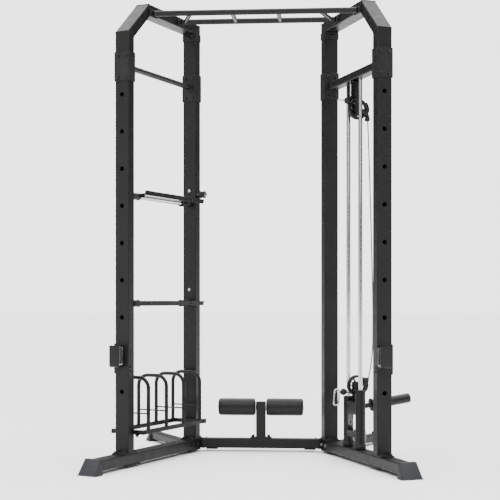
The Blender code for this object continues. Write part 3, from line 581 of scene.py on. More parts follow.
def boot(name, node, at, outward, across, height, wide):
    """A tapered foot boot with a thin sole, on a rail's end."""
    reach_top, reach_sole = 0.015, 0.058
    half_top, half_sole = wide / 2 + 0.005, wide / 2 + 0.015
    lip = 0.005

    def ring(z, half, reach, corner):
        outline = fillet([(-half, 0), (half, 0), (half, reach), (-half, reach)], corner, 5)
        return [p + UP * z for p in laid(at, across, outward, outline)]

    def share(z):
        part = (z - lip) / (height - lip)
        half = half_sole + (half_top - half_sole) * part - 0.002
        return half, reach_sole + (reach_top - reach_sole) * part - 0.002

    body_half, body_reach = share(height - 0.004)
    low_half, low_reach = share(lip + 0.002)
    loops = [ring(0.0005, half_sole - 0.001, reach_sole - 0.001, 0.006),
             ring(0.0015, half_sole, reach_sole, 0.006),
             ring(lip - 0.001, half_sole, reach_sole, 0.006),
             ring(lip, half_sole - 0.001, reach_sole - 0.001, 0.006),
             ring(lip + 0.0012, low_half - 0.0005, low_reach - 0.0005, 0.006),
             ring(lip + 0.004, *share(lip + 0.004), 0.006),
             ring(height - 0.004, body_half, body_reach, 0.005),
             ring(height - 0.0012, body_half - 0.0012, body_reach - 0.0012, 0.0045),
             ring(height, body_half - 0.004, body_reach - 0.004, 0.003)]
    piece(f"{name}_boot", skin(loops), BOOT, node, sharp=50)
    grooves = []
    for k in range(4):
        z = height * (0.25 + 0.16 * k)
        half, reach = share(z)
        path = [at + across * a + outward * b + UP * z
                for a, b in fillet([(-half, 0.008), (-half, reach), (half, reach), (half, 0.008)], 0.006, 4,
                False)]
        grooves.append(sweep(path, [disc(0.0007, 6)], UP))
    piece(f"{name}_boot_ribs", joined(grooves), BOOT)


def rear_leg(side):
    """The leg that starts on the rail's outer face and splays out to the back."""
    name = side.name
    turn = SPLAY + LEG_TURN
    start = side(FACE_W + GAP, LEG_START, 0)
    outward = (side.along * cos(turn) + side.out * sin(turn)).normalized()
    across = outward.cross(UP)
    sections = tube_sections(LEG_WIDE, LEG_TALL, 0.005)

    def ring(outline, at_start):
        made = []
        for a, b in outline:
            side_step = (across * a).dot(side.out)
            reach = -side_step / outward.dot(side.out) if at_start else LEG_LENGTH
            made.append(start + across * a + outward * reach + UP * (LEG_LOW + LEG_TALL / 2 + b))
        return made

    loops = [ring(sections[0], True), ring(sections[0], False), ring(sections[1], False),
             ring(sections[1], True)]
    piece(f"{name}_rear_leg_tube", skin(loops, ring=True), PAINT, f"{name}_rear_leg", flat=True)
    seam = ring(rectangle(LEG_WIDE + 0.001, LEG_TALL + 0.001, 0.005), True)
    welds(f"{name}_rear_leg_weld", [bead(seam, side.out)])
    boot(f"{name}_rear", f"{name}_rear_foot", start + outward * LEG_LENGTH, outward, across,
         top(f"{name}_rear_foot"), LEG_WIDE)


def side_x(y, inset):
    """X of a plane parallel to the right side frame, inset towards the cage, at a world Y."""
    return FRONT_UPRIGHT.x - (y - FRONT_UPRIGHT.y) * tan(SPLAY) - inset / cos(SPLAY)


def crossmember():
    """The back tube between the rails, with its end welds, its pads and the bolts and nuts through the
    rails.
    """
    sections = tube_sections(DEEP, DEEP)

    def ring(outline, sign):
        return [Vector((sign * side_x(CROSS_Y + a, FACE_W + GAP), CROSS_Y + a, RAIL_MID + b))
                for a, b in outline]

    loops = [ring(sections[0], -1), ring(sections[0], 1), ring(sections[1], 1), ring(sections[1], -1)]
    piece("crossmember_tube", skin(loops, ring=True), PAINT, "rear_crossmember", flat=True)
    grown = rectangle(DEEP + 0.001, DEEP + 0.001, CORNER)
    welds("crossmember_welds", [bead(ring(grown, sign), side.out) for side, sign in ((LEFT, -1),
            (RIGHT, 1))])
    pad = [(0.056, 0.044, 0.0), (0.060, 0.048, 0.0012), (0.060, 0.048, 0.005), (0.056, 0.044, 0.0062)]
    for sign, label in ((-1, "left"), (1, "right")):
        at = Vector((sign * CROSS_PAD_AT, CROSS_Y, RAIL_LOW))
        piece(f"{label}_cross_pad", lofted(at, -UP, RIGHTWARD, pad, 0.006), RUBBER)
    for side, spots in ((LEFT, (0.5745, 0.6245)), (RIGHT, (0.596, 0.650))):
        places = [side(-FACE_W, along, RAIL_MID + 0.001) for along in spots]
        fasteners(f"{side.name}_rail_bolts", places, -side.out, 0.0042,
                  ZINC if side is RIGHT else BLACK_BOLT)
        places = [side(FACE_W, along, RAIL_MID + 0.001) for along in spots]
        fasteners(f"{side.name}_rail_nuts", places, side.out, 0.0042, ZINC, kind=lock_nut)


# ---------------------------------------------------------------- uprights and top
def upright(side, label, along):
    name = f"{side.name}_{label}"
    low = bottom(f"{name}_upright")
    path = [side(0, along, low), side(0, along, JOINT_Z)]
    mesh = sweep(path, tube_sections(), side.out)
    if label == "front":
        reach = side.along * DEEP
        heights = [HOLE_TOP - i * HOLE_PITCH for i in range(HOLE_COUNT)]
        tools = [turned(side(0, along, z) - reach, side.along, [(HOLE_RADIUS, 0), (HOLE_RADIUS, 2 * DEEP)],
                        36)
                 for z in heights]
        mesh = drilled(mesh, tools)
        rims = []
        for z in heights:
            for sign in (-1, 1):
                at = side(0, along + sign * FACE_U, z)
                profile = [(HOLE_RADIUS - 0.0007, -0.0015), (HOLE_RADIUS + 0.0001, -0.0015),
                           (HOLE_RADIUS + 0.0009, 0.0001), (HOLE_RADIUS + 0.0002, 0.0003),
                           (HOLE_RADIUS - 0.0006, -0.0004)]
                rims.append(turned(at, side.along * sign, profile, 36, ring=True))
        piece(f"{name}_hole_rims", joined(rims), PAINT, sharp=60)
    piece(f"{name}_tube", mesh, PAINT, f"{name}_upright", flat=True)
    outline = [side(a, along + b, low) for a, b in rectangle(WIDE - 0.0005, FLANGE_LONG, 0.005)]
    piece(f"{name}_flange", slab(outline, UP * FLANGE_THICK), PLATE_PAINT, edge=0.0008)
    face = low + FLANGE_THICK
    welds(f"{name}_foot_weld", [bead(upright_ring(side, along, face + 0.0008), UP, 0.0026)])
    spots = [side(w, along + u, face) for w in (-0.023, 0.023) for u in (-0.043, 0.043)]
    fasteners(f"{name}_flange_bolts", spots, UP, 0.005, BLACK_BOLT)


def top_frame(side):
    name = side.name
    path = [side(0, 0, JOINT_Z), side(0, 0, KNEE_Z), side(0, SLANT_RUN, TOP_MID),
            side(0, SIDE_LENGTH, TOP_MID), side(0, SIDE_LENGTH, JOINT_Z)]
    piece(f"{name}_top_tube", sweep(path, tube_sections(), side.out), PAINT,
          f"{name}_top_frame", flat=True)
    grown = rectangle(WIDE + 0.0008, DEEP + 0.0008, CORNER)
    seams = []
    for point, tangent, outward in bend_frames(path, side.out)[1:-1]:
        seams.append(bead(laid(point, side.out, outward, grown), tangent, 0.0016))
    welds(f"{name}_top_welds", seams)


def rear_corner(side):
    """The sleeve under the top tube at the rear post, with its bolts."""
    name = side.name
    low, high, grow, bolt_z = 2.137, TOP_Z - DEEP - 0.0005, 0.0032, 2.1535
    sections = [rectangle(WIDE + 2 * grow, DEEP + 2 * grow, 0.006), rectangle(WIDE + 0.0006, DEEP + 0.0006,
            0.004)]
    path = [side(0, SIDE_LENGTH, low), side(0, SIDE_LENGTH, high)]
    piece(f"{name}_corner_sleeve", sweep(path, sections, side.out), PLATE_PAINT, edge=0.0007)
    at = side(0, SIDE_LENGTH - FACE_U - grow, bolt_z)
    fasteners(f"{name}_corner_bolt", [at], -side.along, 0.0044, BLACK_BOLT, kind=dome_bolt)
    at = side(0, SIDE_LENGTH + FACE_U + grow, bolt_z)
    fasteners(f"{name}_corner_nut", [at], side.along, 0.0040, BLACK_BOLT, kind=lock_nut)


def collar(side, label, along):
    name = f"{side.name}_{label}"
    grow = 0.0006 + COLLAR_WALL
    sections = [rectangle(WIDE + 2 * grow, DEEP + 2 * grow, 0.006),
                rectangle(WIDE + 0.0012, DEEP + 0.0012, 0.004)]
    path = [side(0, along, COLLAR_LOW), side(0, along, COLLAR_HIGH)]
    piece(f"{name}_sleeve", sweep(path, sections, side.out), PLATE_PAINT, f"{name}_collar",
          edge=0.0007)
    faces = [(-1, FACE_U + grow), (1, FACE_U + grow)]
    spots = [(-0.022, COLLAR_HIGH - 0.019), (0.022, COLLAR_HIGH - 0.019),
             (-0.022, COLLAR_LOW + 0.016), (0.022, COLLAR_LOW + 0.016)]
    for sign, reach in faces:
        where = "front" if sign < 0 else "back"
        kind = dome_bolt if sign < 0 else lock_nut
        places = [side(w, along + sign * reach, z) for w, z in spots]
        fasteners(f"{name}_sleeve_{where}_bolts", places, side.along * sign, 0.0046, BLACK_BOLT, kind=kind)
    if label == "front":
        rivet = [(0.0022, -0.003), (0.0030, 0.0004), (0.0048, 0.0008), (0.0056, 0.0002), (0.0056, -0.003)]
        at = side(0, along - FACE_U - grow, (COLLAR_LOW + COLLAR_HIGH) / 2 + 0.003)
        piece(f"{name}_sleeve_rivet", turned(at, -side.along, rivet, 24, ring=True), RUBBER)


def ladder():
    """Two pull-up bars, their end plates and the four struts."""
    for label, bar in (("front", FRONT_BAR), ("rear", REAR_BAR)):
        low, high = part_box(f"{label}_pull_up_bar")
        start, end = Vector((low.x, bar.y, bar.z)), Vector((high.x, bar.y, bar.z))
        piece(f"{label}_bar_tube", rod(start, end, BAR_RADIUS, BAR_RADIUS - WALL, count=40), PAINT,
              f"{label}_pull_up_bar")
        for side in SIDES:
            along = (bar.y - side.start.y + sin(SPLAY) * FACE_W) / cos(SPLAY)
            thick, half_long, half_tall = 0.004, 0.038, 0.019
            outline = [side(-FACE_W - 0.0002, along + a, bar.z + b)
                       for a, b in rectangle(2 * half_long, 2 * half_tall, 0.007)]
            piece(f"{side.name}_{label}_bar_plate", slab(outline, -side.out * thick), PLATE_PAINT,
                  edge=0.0008)
            spots = [side(-FACE_W - thick, along + step, bar.z) for step in (-0.027, 0.027)]
            fasteners(f"{side.name}_{label}_bar_bolts", spots, -side.out, 0.004, BLACK_BOLT)
            hub = side(-FACE_W - thick, along, bar.z)
            ring = [hub + (side.along * (cos(t) / cos(SPLAY)) + UP * sin(t)) * (BAR_RADIUS + 0.001)
                    for t in turns(24)]
            welds(f"{side.name}_{label}_bar_weld", [bead(ring, -side.out, 0.002)])
    straight = middle("right_straight_strut").x
    for sign, name in ((-1, "left"), (1, "right")):
        strut(f"{name}_straight_strut", sign * straight, sign * straight)
        strut(f"{name}_angled_strut", sign * ANGLED_STRUT[0], sign * ANGLED_STRUT[1])


def strut(node, front_x, rear_x):
    start, end = Vector((front_x, FRONT_BAR.y, FRONT_BAR.z)), Vector((rear_x, REAR_BAR.y, REAR_BAR.z))
    step = (end - start).normalized()
    spare = (BAR_RADIUS - 0.001) / step.y
    piece(f"{node}_tube", rod(start + step * spare, end - step * spare, STRUT_RADIUS, count=32), PAINT,
          node)
    seams = []
    first, second = square_to(step)
    for at, sign in ((start, 1), (end, -1)):
        center = at + step * (sign * (spare + 0.0015))
        ring = circle(center, first, second, STRUT_RADIUS + 0.0004, 20)
        seams.append(bead(ring, step, 0.0018))
    welds(f"{node}_welds", seams)


# ---------------------------------------------------------------- left side
def grip_bar():
    low = FACE_U + COLLAR_WALL + 0.0006
    start, end = LEFT(0, low, GRIP_Z), LEFT(0, SIDE_LENGTH - low, GRIP_Z)
    length = (end - start).length
    thick, flange, grip = 0.004, 0.021, 0.0135
    profile = [(flange - 0.001, 0), (flange, 0.001), (flange, thick - 0.001), (flange - 0.001, thick),
               (grip + 0.003, thick + 0.0004), (grip + 0.0008, thick + 0.0028), (grip, thick + 0.005)]
    mirror = [(radius, length - distance) for radius, distance in reversed(profile)]
    inside = [(0.011, length), (0.011, 0)]
    piece("grip_tube", turned(start, LEFT.along, profile + mirror + inside, 40, ring=True), PAINT,
          "left_grip_bar")


def spotter(level):
    """The chrome tube with its sockets, tabs and guard strip; all of it pulls out together."""
    tube_z, strip_low, strip_front = SPOTTERS[level]
    body = f"{level}_spotter"
    first, last = FACE_U + GAP, SIDE_LENGTH - FACE_U - GAP
    inset = 0.004
    piece(f"{level}_chrome_tube", rod(LEFT(0, first + inset, tube_z), LEFT(0, last - inset, tube_z),
            SPOTTER_RADIUS, SPOTTER_RADIUS - 0.002, count=40),
          CHROME, f"{level}_spotter_tube", body=body)
    near, rear = FACE_W + 0.001, SIDE_LENGTH + GUARD_PAST
    outline = [(strip_front, strip_low), (rear - GUARD_LEAN, strip_low), (rear, strip_low + GUARD_TALL),
               (strip_front + GUARD_LEAN, strip_low + GUARD_TALL)]
    points = [LEFT(-near, u, z) for u, z in fillet(outline, 0.002)]
    piece(f"{level}_guard_strip", slab(points, -LEFT.out * GUARD_THICK), PAINT,
          f"{level}_spotter_guard", body=body, edge=0.0009)
    bore = SPOTTER_RADIUS + 0.0006
    tabs = []
    for label, low, high in (("front", first, first + SOCKET_LENGTH), ("rear", last - SOCKET_LENGTH, last)):
        outer = bore + 0.0032
        profile = fillet([(bore, low), (outer, low), (outer, high), (bore, high)], 0.0008, 3)
        lip = low if label == "rear" else high - 0.006
        profile_lip = fillet([(bore + 0.001, lip), (outer + 0.0014, lip), (outer + 0.0014, lip + 0.006),
                (bore + 0.001, lip + 0.006)], 0.0008, 3)
        base = LEFT(0, 0, tube_z)
        mesh = joined([turned(base, LEFT.along, profile, 40, ring=True),
                       turned(base, LEFT.along, profile_lip, 40, ring=True)])
        piece(f"{level}_{label}_socket", mesh, RUBBER, body=body)
        tab_middle = high - 0.006 if label == "front" else low + 0.030
        tab_low, tab_high = tube_z - 0.006, max(tube_z, strip_low) + 0.008
        center = LEFT(-(bore + 0.002), tab_middle, (tab_low + tab_high) / 2)
        steps = [(0.008, tab_high - tab_low, 0.0), (0.008, tab_high - tab_low, near - bore - 0.002 + 0.001)]
        tabs.append(lofted(center, -LEFT.out, LEFT.along, steps, 0.0015))
    piece(f"{level}_spotter_tabs", joined(tabs), PLATE_PAINT, body=body)
    spots = [LEFT(-near - GUARD_THICK, SIDE_LENGTH * share + 0.02, strip_low + GUARD_TALL / 2)
             for share in (0.2, 0.85)]
    fasteners(f"{level}_strip_bolts", spots, -LEFT.out, 0.0026, BLACK_BOLT, body, dome_bolt)
    bolt_z = tube_z + POST_BOLT_UP
    fasteners(f"{level}_post_bolt", [LEFT(0, SIDE_LENGTH - FACE_U, bolt_z)], -LEFT.along, 0.0044, ZINC,
              kind=dome_bolt)


def latch_pin():
    """The sprung pin on the rear upright, with its ribbed knob."""
    start = LEFT(-FACE_W - GAP, SIDE_LENGTH, middle("spotter_pull_pin").z)
    plunger = [(0.0075, 0), (0.008, 0.001), (0.008, 0.010)]
    knob = fillet([(0.008, 0.010), (0.018, 0.010), (0.019, 0.014), (0.019, 0.020), (0.013, 0.023),
                   (0.013, 0.029),
                   (0.018, 0.031), (0.018, 0.042), (0.015, 0.045)], 0.0012, 3, False)
    piece("pin_knob", turned(start, -LEFT.out, plunger + [tuple(p) for p in knob[1:]], 40), RUBBER,
          "spotter_pull_pin", body="pull_pin", sharp=40)
    cap = [(0.0135, 0.0449), (0.0135, 0.0455), (0.0118, 0.0462), (0.004, 0.0465)]
    neck = [(0.0100, 0.0004), (0.0118, 0.0012), (0.0118, 0.0050), (0.0100, 0.0060)]
    trim = joined([turned(start, -LEFT.out, profile, 32) for profile in (cap, neck)])
    piece("pin_knob_trim", trim, ZINC, body="pull_pin")


def plate_rack():
    """The rack's base frame with its four hoops and cross wires."""
    half = HOOP_HALF + 0.002
    front = FACE_U + 0.0005 + RACK_BAR / 2
    rear = SIDE_LENGTH - front
    path = [LEFT(w, u, RACK_Z) for w, u in ((-half, front), (half, front), (half, rear), (-half, rear))]
    path = path[::-1]
    sections = [rectangle(RACK_BAR, RACK_BAR, 0.0028)]
    piece("rack_base_frame", sweep(path, sections, UP, closed=True), PAINT, "rack_base", flat=True)
    corner_seams = []
    for point, tangent, outward in bend_frames(path, UP, closed=True):
        ring = [point + UP * a + outward * b for a, b in rectangle(RACK_BAR + 0.0006, RACK_BAR + 0.0006,
                0.0028)]
        corner_seams.append(bead(ring, tangent, 0.0011, ripple=0.003))
    welds("rack_corner_welds", corner_seams)
    low = RACK_Z + RACK_BAR / 2 + GAP
    shoulder, bend_z = HOOP_HALF - HOOP_BEND, HOOP_TOP - HOOP_BEND
    outline = [(-HOOP_HALF, low)] + arc((-shoulder, bend_z), HOOP_BEND, 180, 90, 14)
    outline += arc((shoulder, bend_z), HOOP_BEND, 90, 0, 14) + [(HOOP_HALF, low)]
    seams = []
    for i, u in enumerate(HOOP_AT):
        hoop = sweep([LEFT(w, u, z) for w, z in outline], [disc(HOOP_RADIUS, 24)], LEFT.along)
        wire = rod(LEFT(-HOOP_HALF, u, HOOP_WIRE_Z), LEFT(HOOP_HALF, u, HOOP_WIRE_Z), HOOP_WIRE, count=16)
        piece(f"hoop_{i + 1}_bar", joined([hoop, wire]), PAINT, f"plate_hoop_{i + 1}")
        for w in (-HOOP_HALF, HOOP_HALF):
            ring = [LEFT(w + (HOOP_RADIUS + 0.0006) * cos(t), u + (HOOP_RADIUS + 0.0006) * sin(t),
                         low + 0.0006)
                    for t in turns(20)]
            seams.append(bead(ring, UP, 0.0017, ripple=0.0034))
    welds("hoop_welds", seams)
    gusset = fillet([(-0.033, RACK_Z - RACK_BAR / 2), (-0.060, RACK_Z - RACK_BAR / 2),
                     (-0.047, RACK_Z - RACK_BAR / 2 - 0.017)], 0.002)
    piece("rack_gusset", slab([LEFT(w, front - 0.003, z) for w, z in gusset], LEFT.along * 0.005),
          PLATE_PAINT, edge=0.0006)
    plugs = []
    for u in (front, rear):
        plugs.append(lofted(LEFT(half + RACK_BAR / 2, u, RACK_Z), LEFT.out, UP,
                            [(0.017, 0.017, -0.0002), (0.019, 0.019, 0.0008), (0.019, 0.019, 0.002),
                (0.015, 0.015, 0.003)], 0.002))
    plugs.append(lofted(LEFT(-half, rear + RACK_BAR / 2, RACK_Z), LEFT.along, UP,
                        [(0.020, 0.020, -0.0002), (0.022, 0.022, 0.001), (0.022, 0.022, 0.0145),
            (0.018, 0.018, 0.0155)], 0.002))
    piece("rack_plugs", joined(plugs), RUBBER)
    spots = [LEFT(-half - RACK_BAR / 2, u, RACK_Z) for u in (front + 0.004, rear - 0.002)]
    fasteners("rack_bolts", spots, -LEFT.out, 0.003, BLACK_BOLT)


# ---------------------------------------------------------------- pulley station
def pulley_beam():
    first = FACE_U + COLLAR_WALL + 0.0006
    middle_z = (BEAM_LOW + BEAM_HIGH) / 2
    path = [RIGHT(0, first, middle_z), RIGHT(0, SIDE_LENGTH - first, middle_z)]
    piece("pulley_beam_tube", sweep(path, tube_sections(BEAM_WIDE, BEAM_HIGH - BEAM_LOW, 0.005), RIGHT.out),
          PAINT, "pulley_beam", flat=True)
    seams = []
    for u in (first + 0.0008, SIDE_LENGTH - first - 0.0008):
        ring = [RIGHT(a, u, middle_z + b) for a, b in rectangle(BEAM_WIDE + 0.001,
                BEAM_HIGH - BEAM_LOW + 0.001, 0.005)]
        seams.append(bead(ring, RIGHT.along, 0.0022))
    welds("pulley_beam_welds", seams)


def guide_rods():
    low = RAIL_HIGH + GAP
    height = SLEEVE_LOW - GAP - low
    for label, u in zip(("front", "rear"), ROD_AT):
        piece(f"{label}_rod_bar", rod(RIGHT(0, u, low), RIGHT(0, u, BEAM_LOW - GAP), ROD_RADIUS, count=40),
              CHROME, f"{label}_guide_rod")
        bore = ROD_RADIUS + 0.0005
        outline = [(bore, 0), (0.0265, 0), (0.028, 0.004), (0.028, height * 0.6), (0.0245, height),
                   (bore, height)]
        piece(f"{label}_bumper_ring", turned(RIGHT(0, u, low), UP, fillet(outline, 0.0016, 3), 48,
                ring=True),
              RUBBER, f"{label}_bumper")


def wheel(name, node, center, body):
    """A grooved wheel with a rim, six spokes, a hub and a steel bearing."""
    out, up = center
    r, half, bore = WHEEL_RADIUS, WHEEL_HALF, AXLE_RADIUS + 0.0006
    groove = [(r - GROOVE_DEPTH + 0.0052 * (1 - cos(a)), 0.0075 * sin(a)) for a in (radians(-70 + 14 * k)
            for k in range(11))]
    rim_in, flank = r - 0.0125, half - 0.0006
    face = [(rim_in, half - 0.0030), (rim_in + 0.0012, flank), (r - 0.0008, flank), (r, half - 0.0020)]
    outline = [(radius, -distance) for radius, distance in face] + groove
    outline += list(reversed(face))
    at = RIGHT(out, PULLEY_AT, up)
    rim = turned(at, RIGHT.along, outline, 72, ring=True)
    hub = turned(at, RIGHT.along, fillet([(0.0130, -flank), (0.0165, -flank), (0.0165, flank),
            (0.0130, flank)],
            0.0006, 3), 48, ring=True)
    spokes = []
    for k in range(6):
        t = 2 * pi * k / 6
        direction = RIGHT.out * cos(t) + UP * sin(t)
        across = RIGHT.along.cross(direction)
        steps = [(0.0060, 2 * half - 0.0060, 0.0150), (0.0046, 2 * half - 0.0060, rim_in + 0.001)]
        spokes.append(lofted(at, direction, across, steps, 0.001))
    piece(f"{name}_rim", joined([rim, hub, *spokes]), NYLON, node, body=body)
    race = fillet([(bore, -0.0095), (0.0134, -0.0095), (0.0134, 0.0095), (bore, 0.0095)], 0.0006, 3)
    piece(f"{name}_bearing", turned(at, RIGHT.along, race, 48, ring=True), ZINC, body=body)


def pulley_bracket(name, node, center, closed_z, strap_end, body):
    """The U strap over a wheel, with its axle bolt and nut."""
    out, up = center
    inner = STRAP_INSIDE + STRAP_THICK / 2
    level = closed_z + (-STRAP_THICK / 2 if closed_z > up else STRAP_THICK / 2)
    path = [RIGHT(STRAP_MID, PULLEY_AT + u, z) for u, z in
            fillet([(-inner, strap_end), (-inner, level), (inner, level), (inner, strap_end)], 0.007, 6,
                   False)]
    strip = rectangle(2 * STRAP_HALF, STRAP_THICK, 0.0007, 2)
    piece(f"{name}_strap", sweep(path, [strip], RIGHT.out), PAINT, node, body=body)
    outer = STRAP_INSIDE + STRAP_THICK
    at = RIGHT(out, PULLEY_AT, up)
    axle = [turned(at - RIGHT.along * outer, RIGHT.along, [(AXLE_RADIUS, 0), (AXLE_RADIUS, 2 * outer)], 32)]
    axle += hex_bolt(at - RIGHT.along * outer, -RIGHT.along, 0.0048)
    axle += lock_nut(at + RIGHT.along * outer, RIGHT.along, 0.0048)
    for sign in (-1, 1):
        base = at + RIGHT.along * (sign * (WHEEL_HALF - 0.0015))
        axle.append(turned(base, RIGHT.along * sign,
                           [(0.0095, 0), (0.0095, STRAP_INSIDE - WHEEL_HALF + 0.001)], 28))
    piece(f"{name}_axle", joined(axle), BLACK_BOLT, body=body)


def cable_guard(name, center, first, last, bulb_turn, bulb_at, body):
    """The crescent over the outer side of a wheel, and the funnel that the cable runs through."""
    out, up = center
    inner = WHEEL_RADIUS + 0.0012
    loops = []
    steps = 20
    for k in range(steps + 1):
        t = radians(first + (last - first) * k / steps)
        thick = 0.0015 + 0.0040 * sin(pi * k / steps) ** 0.7
        radial = RIGHT.out * cos(t) + UP * sin(t)
        center_point = RIGHT(out, PULLEY_AT, up) + radial * (inner + thick / 2)
        loops.append(laid(center_point, RIGHT.along, radial, rectangle(0.025, thick, 0.0007, 2)))
    crescent = skin(loops)
    at = RIGHT(out + WHEEL_RADIUS - GROOVE_DEPTH + CABLE_RADIUS + CABLE_LIFT + 0.002, PULLEY_AT,
               up + bulb_turn * bulb_at)
    bore = CABLE_RADIUS + 0.0016
    funnel = fillet([(bore + 0.004, 0.022), (0.0085, 0.020), (0.0125, 0.036), (0.0135, 0.046),
                     (0.0105, 0.052),
                     (bore + 0.001, 0.052), (bore, 0.038)], 0.0015, 3)
    bulb = turned(at, UP * bulb_turn, funnel, 32, ring=True)
    arms = []
    for sign in (-1, 1):
        u = PULLEY_AT + sign * (WHEEL_HALF + 0.0022)
        corners = [(out - 0.006, up + bulb_turn * -0.006), (out + 0.008, up + bulb_turn * -0.009),
                   (out + 0.0545, up + bulb_turn * (bulb_at + 0.022)),
                   (out + 0.0515, up + bulb_turn * (bulb_at + 0.033)),
                   (out - 0.004, up + bulb_turn * 0.008)]
        arms.append(slab([RIGHT(w, u - 0.001, z) for w, z in fillet(corners, 0.003)], RIGHT.along * 0.002))
    piece(f"{name}_guard", joined([crescent, bulb, *arms]), NYLON, body=body, sharp=40)


def cable_fork():
    """The hanging fork that the ball on the cable rests against."""
    leg_in, leg_out, leg_wide = 0.0190, 0.0220, 0.008
    low, high = 1.7645, 1.790
    near, far = UPPER_BALL[0] + BALL_RADIUS - 0.001, UPPER_BALL[0] + BALL_RADIUS + 0.002
    slot_half, slot_top = CABLE_RADIUS + 0.0015, UPPER_BALL[1] + 0.006
    outline = [(-leg_out, low), (-slot_half, low), (-slot_half, slot_top - 0.003), (0, slot_top),
               (slot_half, slot_top - 0.003), (slot_half, low), (leg_out, low), (leg_out, high), (-leg_out,
            high)]
    points = [RIGHT(near, PULLEY_AT + u, z) for u, z in fillet(outline, 0.0016, 3)]
    meshes = [slab(points, RIGHT.out * (far - near))]
    for sign in (-1, 1):
        center = RIGHT(far - leg_wide / 2, PULLEY_AT + sign * (leg_in + leg_out) / 2, low)
        steps = [(leg_wide, leg_out - leg_in, 0), (leg_wide, leg_out - leg_in, BEAM_LOW - GAP - low)]
        meshes.append(lofted(center, UP, RIGHT.out, steps, 0.0007))
    piece("cable_fork", joined(meshes), PAINT, "cable_stop_bracket", edge=0.0005)


def carriage():
    """Two sleeves on the rods, their bridge plates and end bushes."""
    bore = ROD_RADIUS + 0.0006
    meshes, bushes = [], []
    for u, high in zip(ROD_AT, SLEEVE_TOPS):
        at = RIGHT(0, u, SLEEVE_LOW)
        tall = high - SLEEVE_LOW
        outline = [(bore + 0.004, 0), (SLEEVE_RADIUS, 0), (SLEEVE_RADIUS, tall), (bore + 0.004, tall)]
        meshes.append(turned(at, UP, fillet(outline, 0.001, 3), 56, ring=True))
        for end, sign in ((0, 1), (tall, -1)):
            plug = fillet([(bore, end), (0.0215, end), (0.0215, end + sign * 0.012),
                           (bore, end + sign * 0.012)], 0.001, 3)
            bushes.append(turned(at, UP, [(r, d - sign * 0.0012) for r, d in plug], 40, ring=True))
    reach = SLEEVE_RADIUS - 0.006
    for low, high in BRIDGES:
        mid = (ROD_AT[0] + ROD_AT[1]) / 2
        long = ROD_AT[1] - ROD_AT[0] - 2 * reach
        steps = [(2 * BRIDGE_HALF, long, 0), (2 * BRIDGE_HALF, long, high - low)]
        meshes.append(lofted(RIGHT(0, mid, low), UP, RIGHT.out, steps, 0.002))
    piece("carriage_sleeves", joined(meshes), PAINT, "plate_carriage", body="carriage", flat=True)
    piece("carriage_bushes", joined(bushes), NYLON, body="carriage")
    seams = []
    for u, sign in ((ROD_AT[0], 1), (ROD_AT[1], -1)):
        for low, high in BRIDGES:
            for face in (-1, 1):
                lean = (SLEEVE_RADIUS ** 2 - BRIDGE_HALF ** 2) ** 0.5
                line = [RIGHT(face * BRIDGE_HALF, u + sign * lean, z) for z in (low, (low + high) / 2,
                        high)]
                seams.append(bead(line, RIGHT.out, 0.0022, closed=False))
    welds("carriage_welds", seams, "carriage")
    lock_plate()


def lock_plate():
    """The small drilled plate on the carriage's inner side, and the wire clip hung in it."""
    low, high, thick = 0.176, 0.232, 0.004
    corners = [(0.2925, low), (0.2925, high), (0.350, high), (0.350, low + 0.006), (0.338, low)]
    mesh = slab([RIGHT(-BRIDGE_HALF - 0.002, u, z) for u, z in fillet(corners, 0.006)], RIGHT.out * thick)
    hole = RIGHT(-BRIDGE_HALF - 0.010, 0.316, low + 0.018)
    mesh = drilled(mesh, [turned(hole, RIGHT.out, [(0.0055, 0), (0.0055, 0.03)], 28)])
    piece("carriage_lock_plate", mesh, LOCK_PAINT, body="carriage", edge=0.0007)
    loop = [(-0.020, 0.205), (-0.0185, 0.150), (-0.0173, 0.116), (-0.0105, 0.0985), (0.0067, 0.096),
            (0.036, 0.096),
            (0.0465, 0.102), (0.0469, 0.135), (0.044, 0.160)]
    path = fillet([RIGHT(w, 0.2885, z) for w, z in loop], 0.008, 6, False)
    piece("carriage_clip", sweep(path, [disc(0.0013, 10)], RIGHT.along), ZINC, body="carriage")


def loading_peg():
    tilt = radians(8)
    start = RIGHT(BRIDGE_HALF + 0.0035, PULLEY_AT, 0.264)
    step = RIGHT.out * cos(tilt) + UP * sin(tilt)
    shaft, flange, sleeve = 0.0125, 0.032, 0.0240
    corners = [(0.018, 0), (0.018, 0.006), (shaft, 0.006), (shaft, 0.066), (flange, 0.066), (flange, 0.073),
               (sleeve, 0.073), (sleeve, 0.274)]
    profile = [(0.012, 0)] + [tuple(p) for p in fillet(corners, 0.0012, 3, False)] + [(0.0235, 0.2755),
            (0.0205, 0.276)]
    piece("peg_body", turned(start, step, profile, 56), PAINT, "loading_peg", body="carriage")
    cap = [(0.0205, 0.2740), (0.0205, 0.2758), (0.0190, 0.2772), (0.0100, 0.2778)]
    piece("peg_cap", turned(start, step, cap, 40), RUBBER, body="carriage")
    first, second = square_to(step)
    ring = circle(start + step * 0.0735, first, second, sleeve + 0.0006, 36)
    welds("peg_weld", [bead(ring, step, 0.002)], "carriage")


# ---------------------------------------------------------------- cable
def tangent_angle(center, point, reach, turn):
    """Angle on a wheel, in degrees, where a straight run from the point touches it."""
    out, up = point[0] - center[0], point[1] - center[1]
    return (atan2(up, out) + turn * acos(reach / hypot(out, up))) * 180 / pi


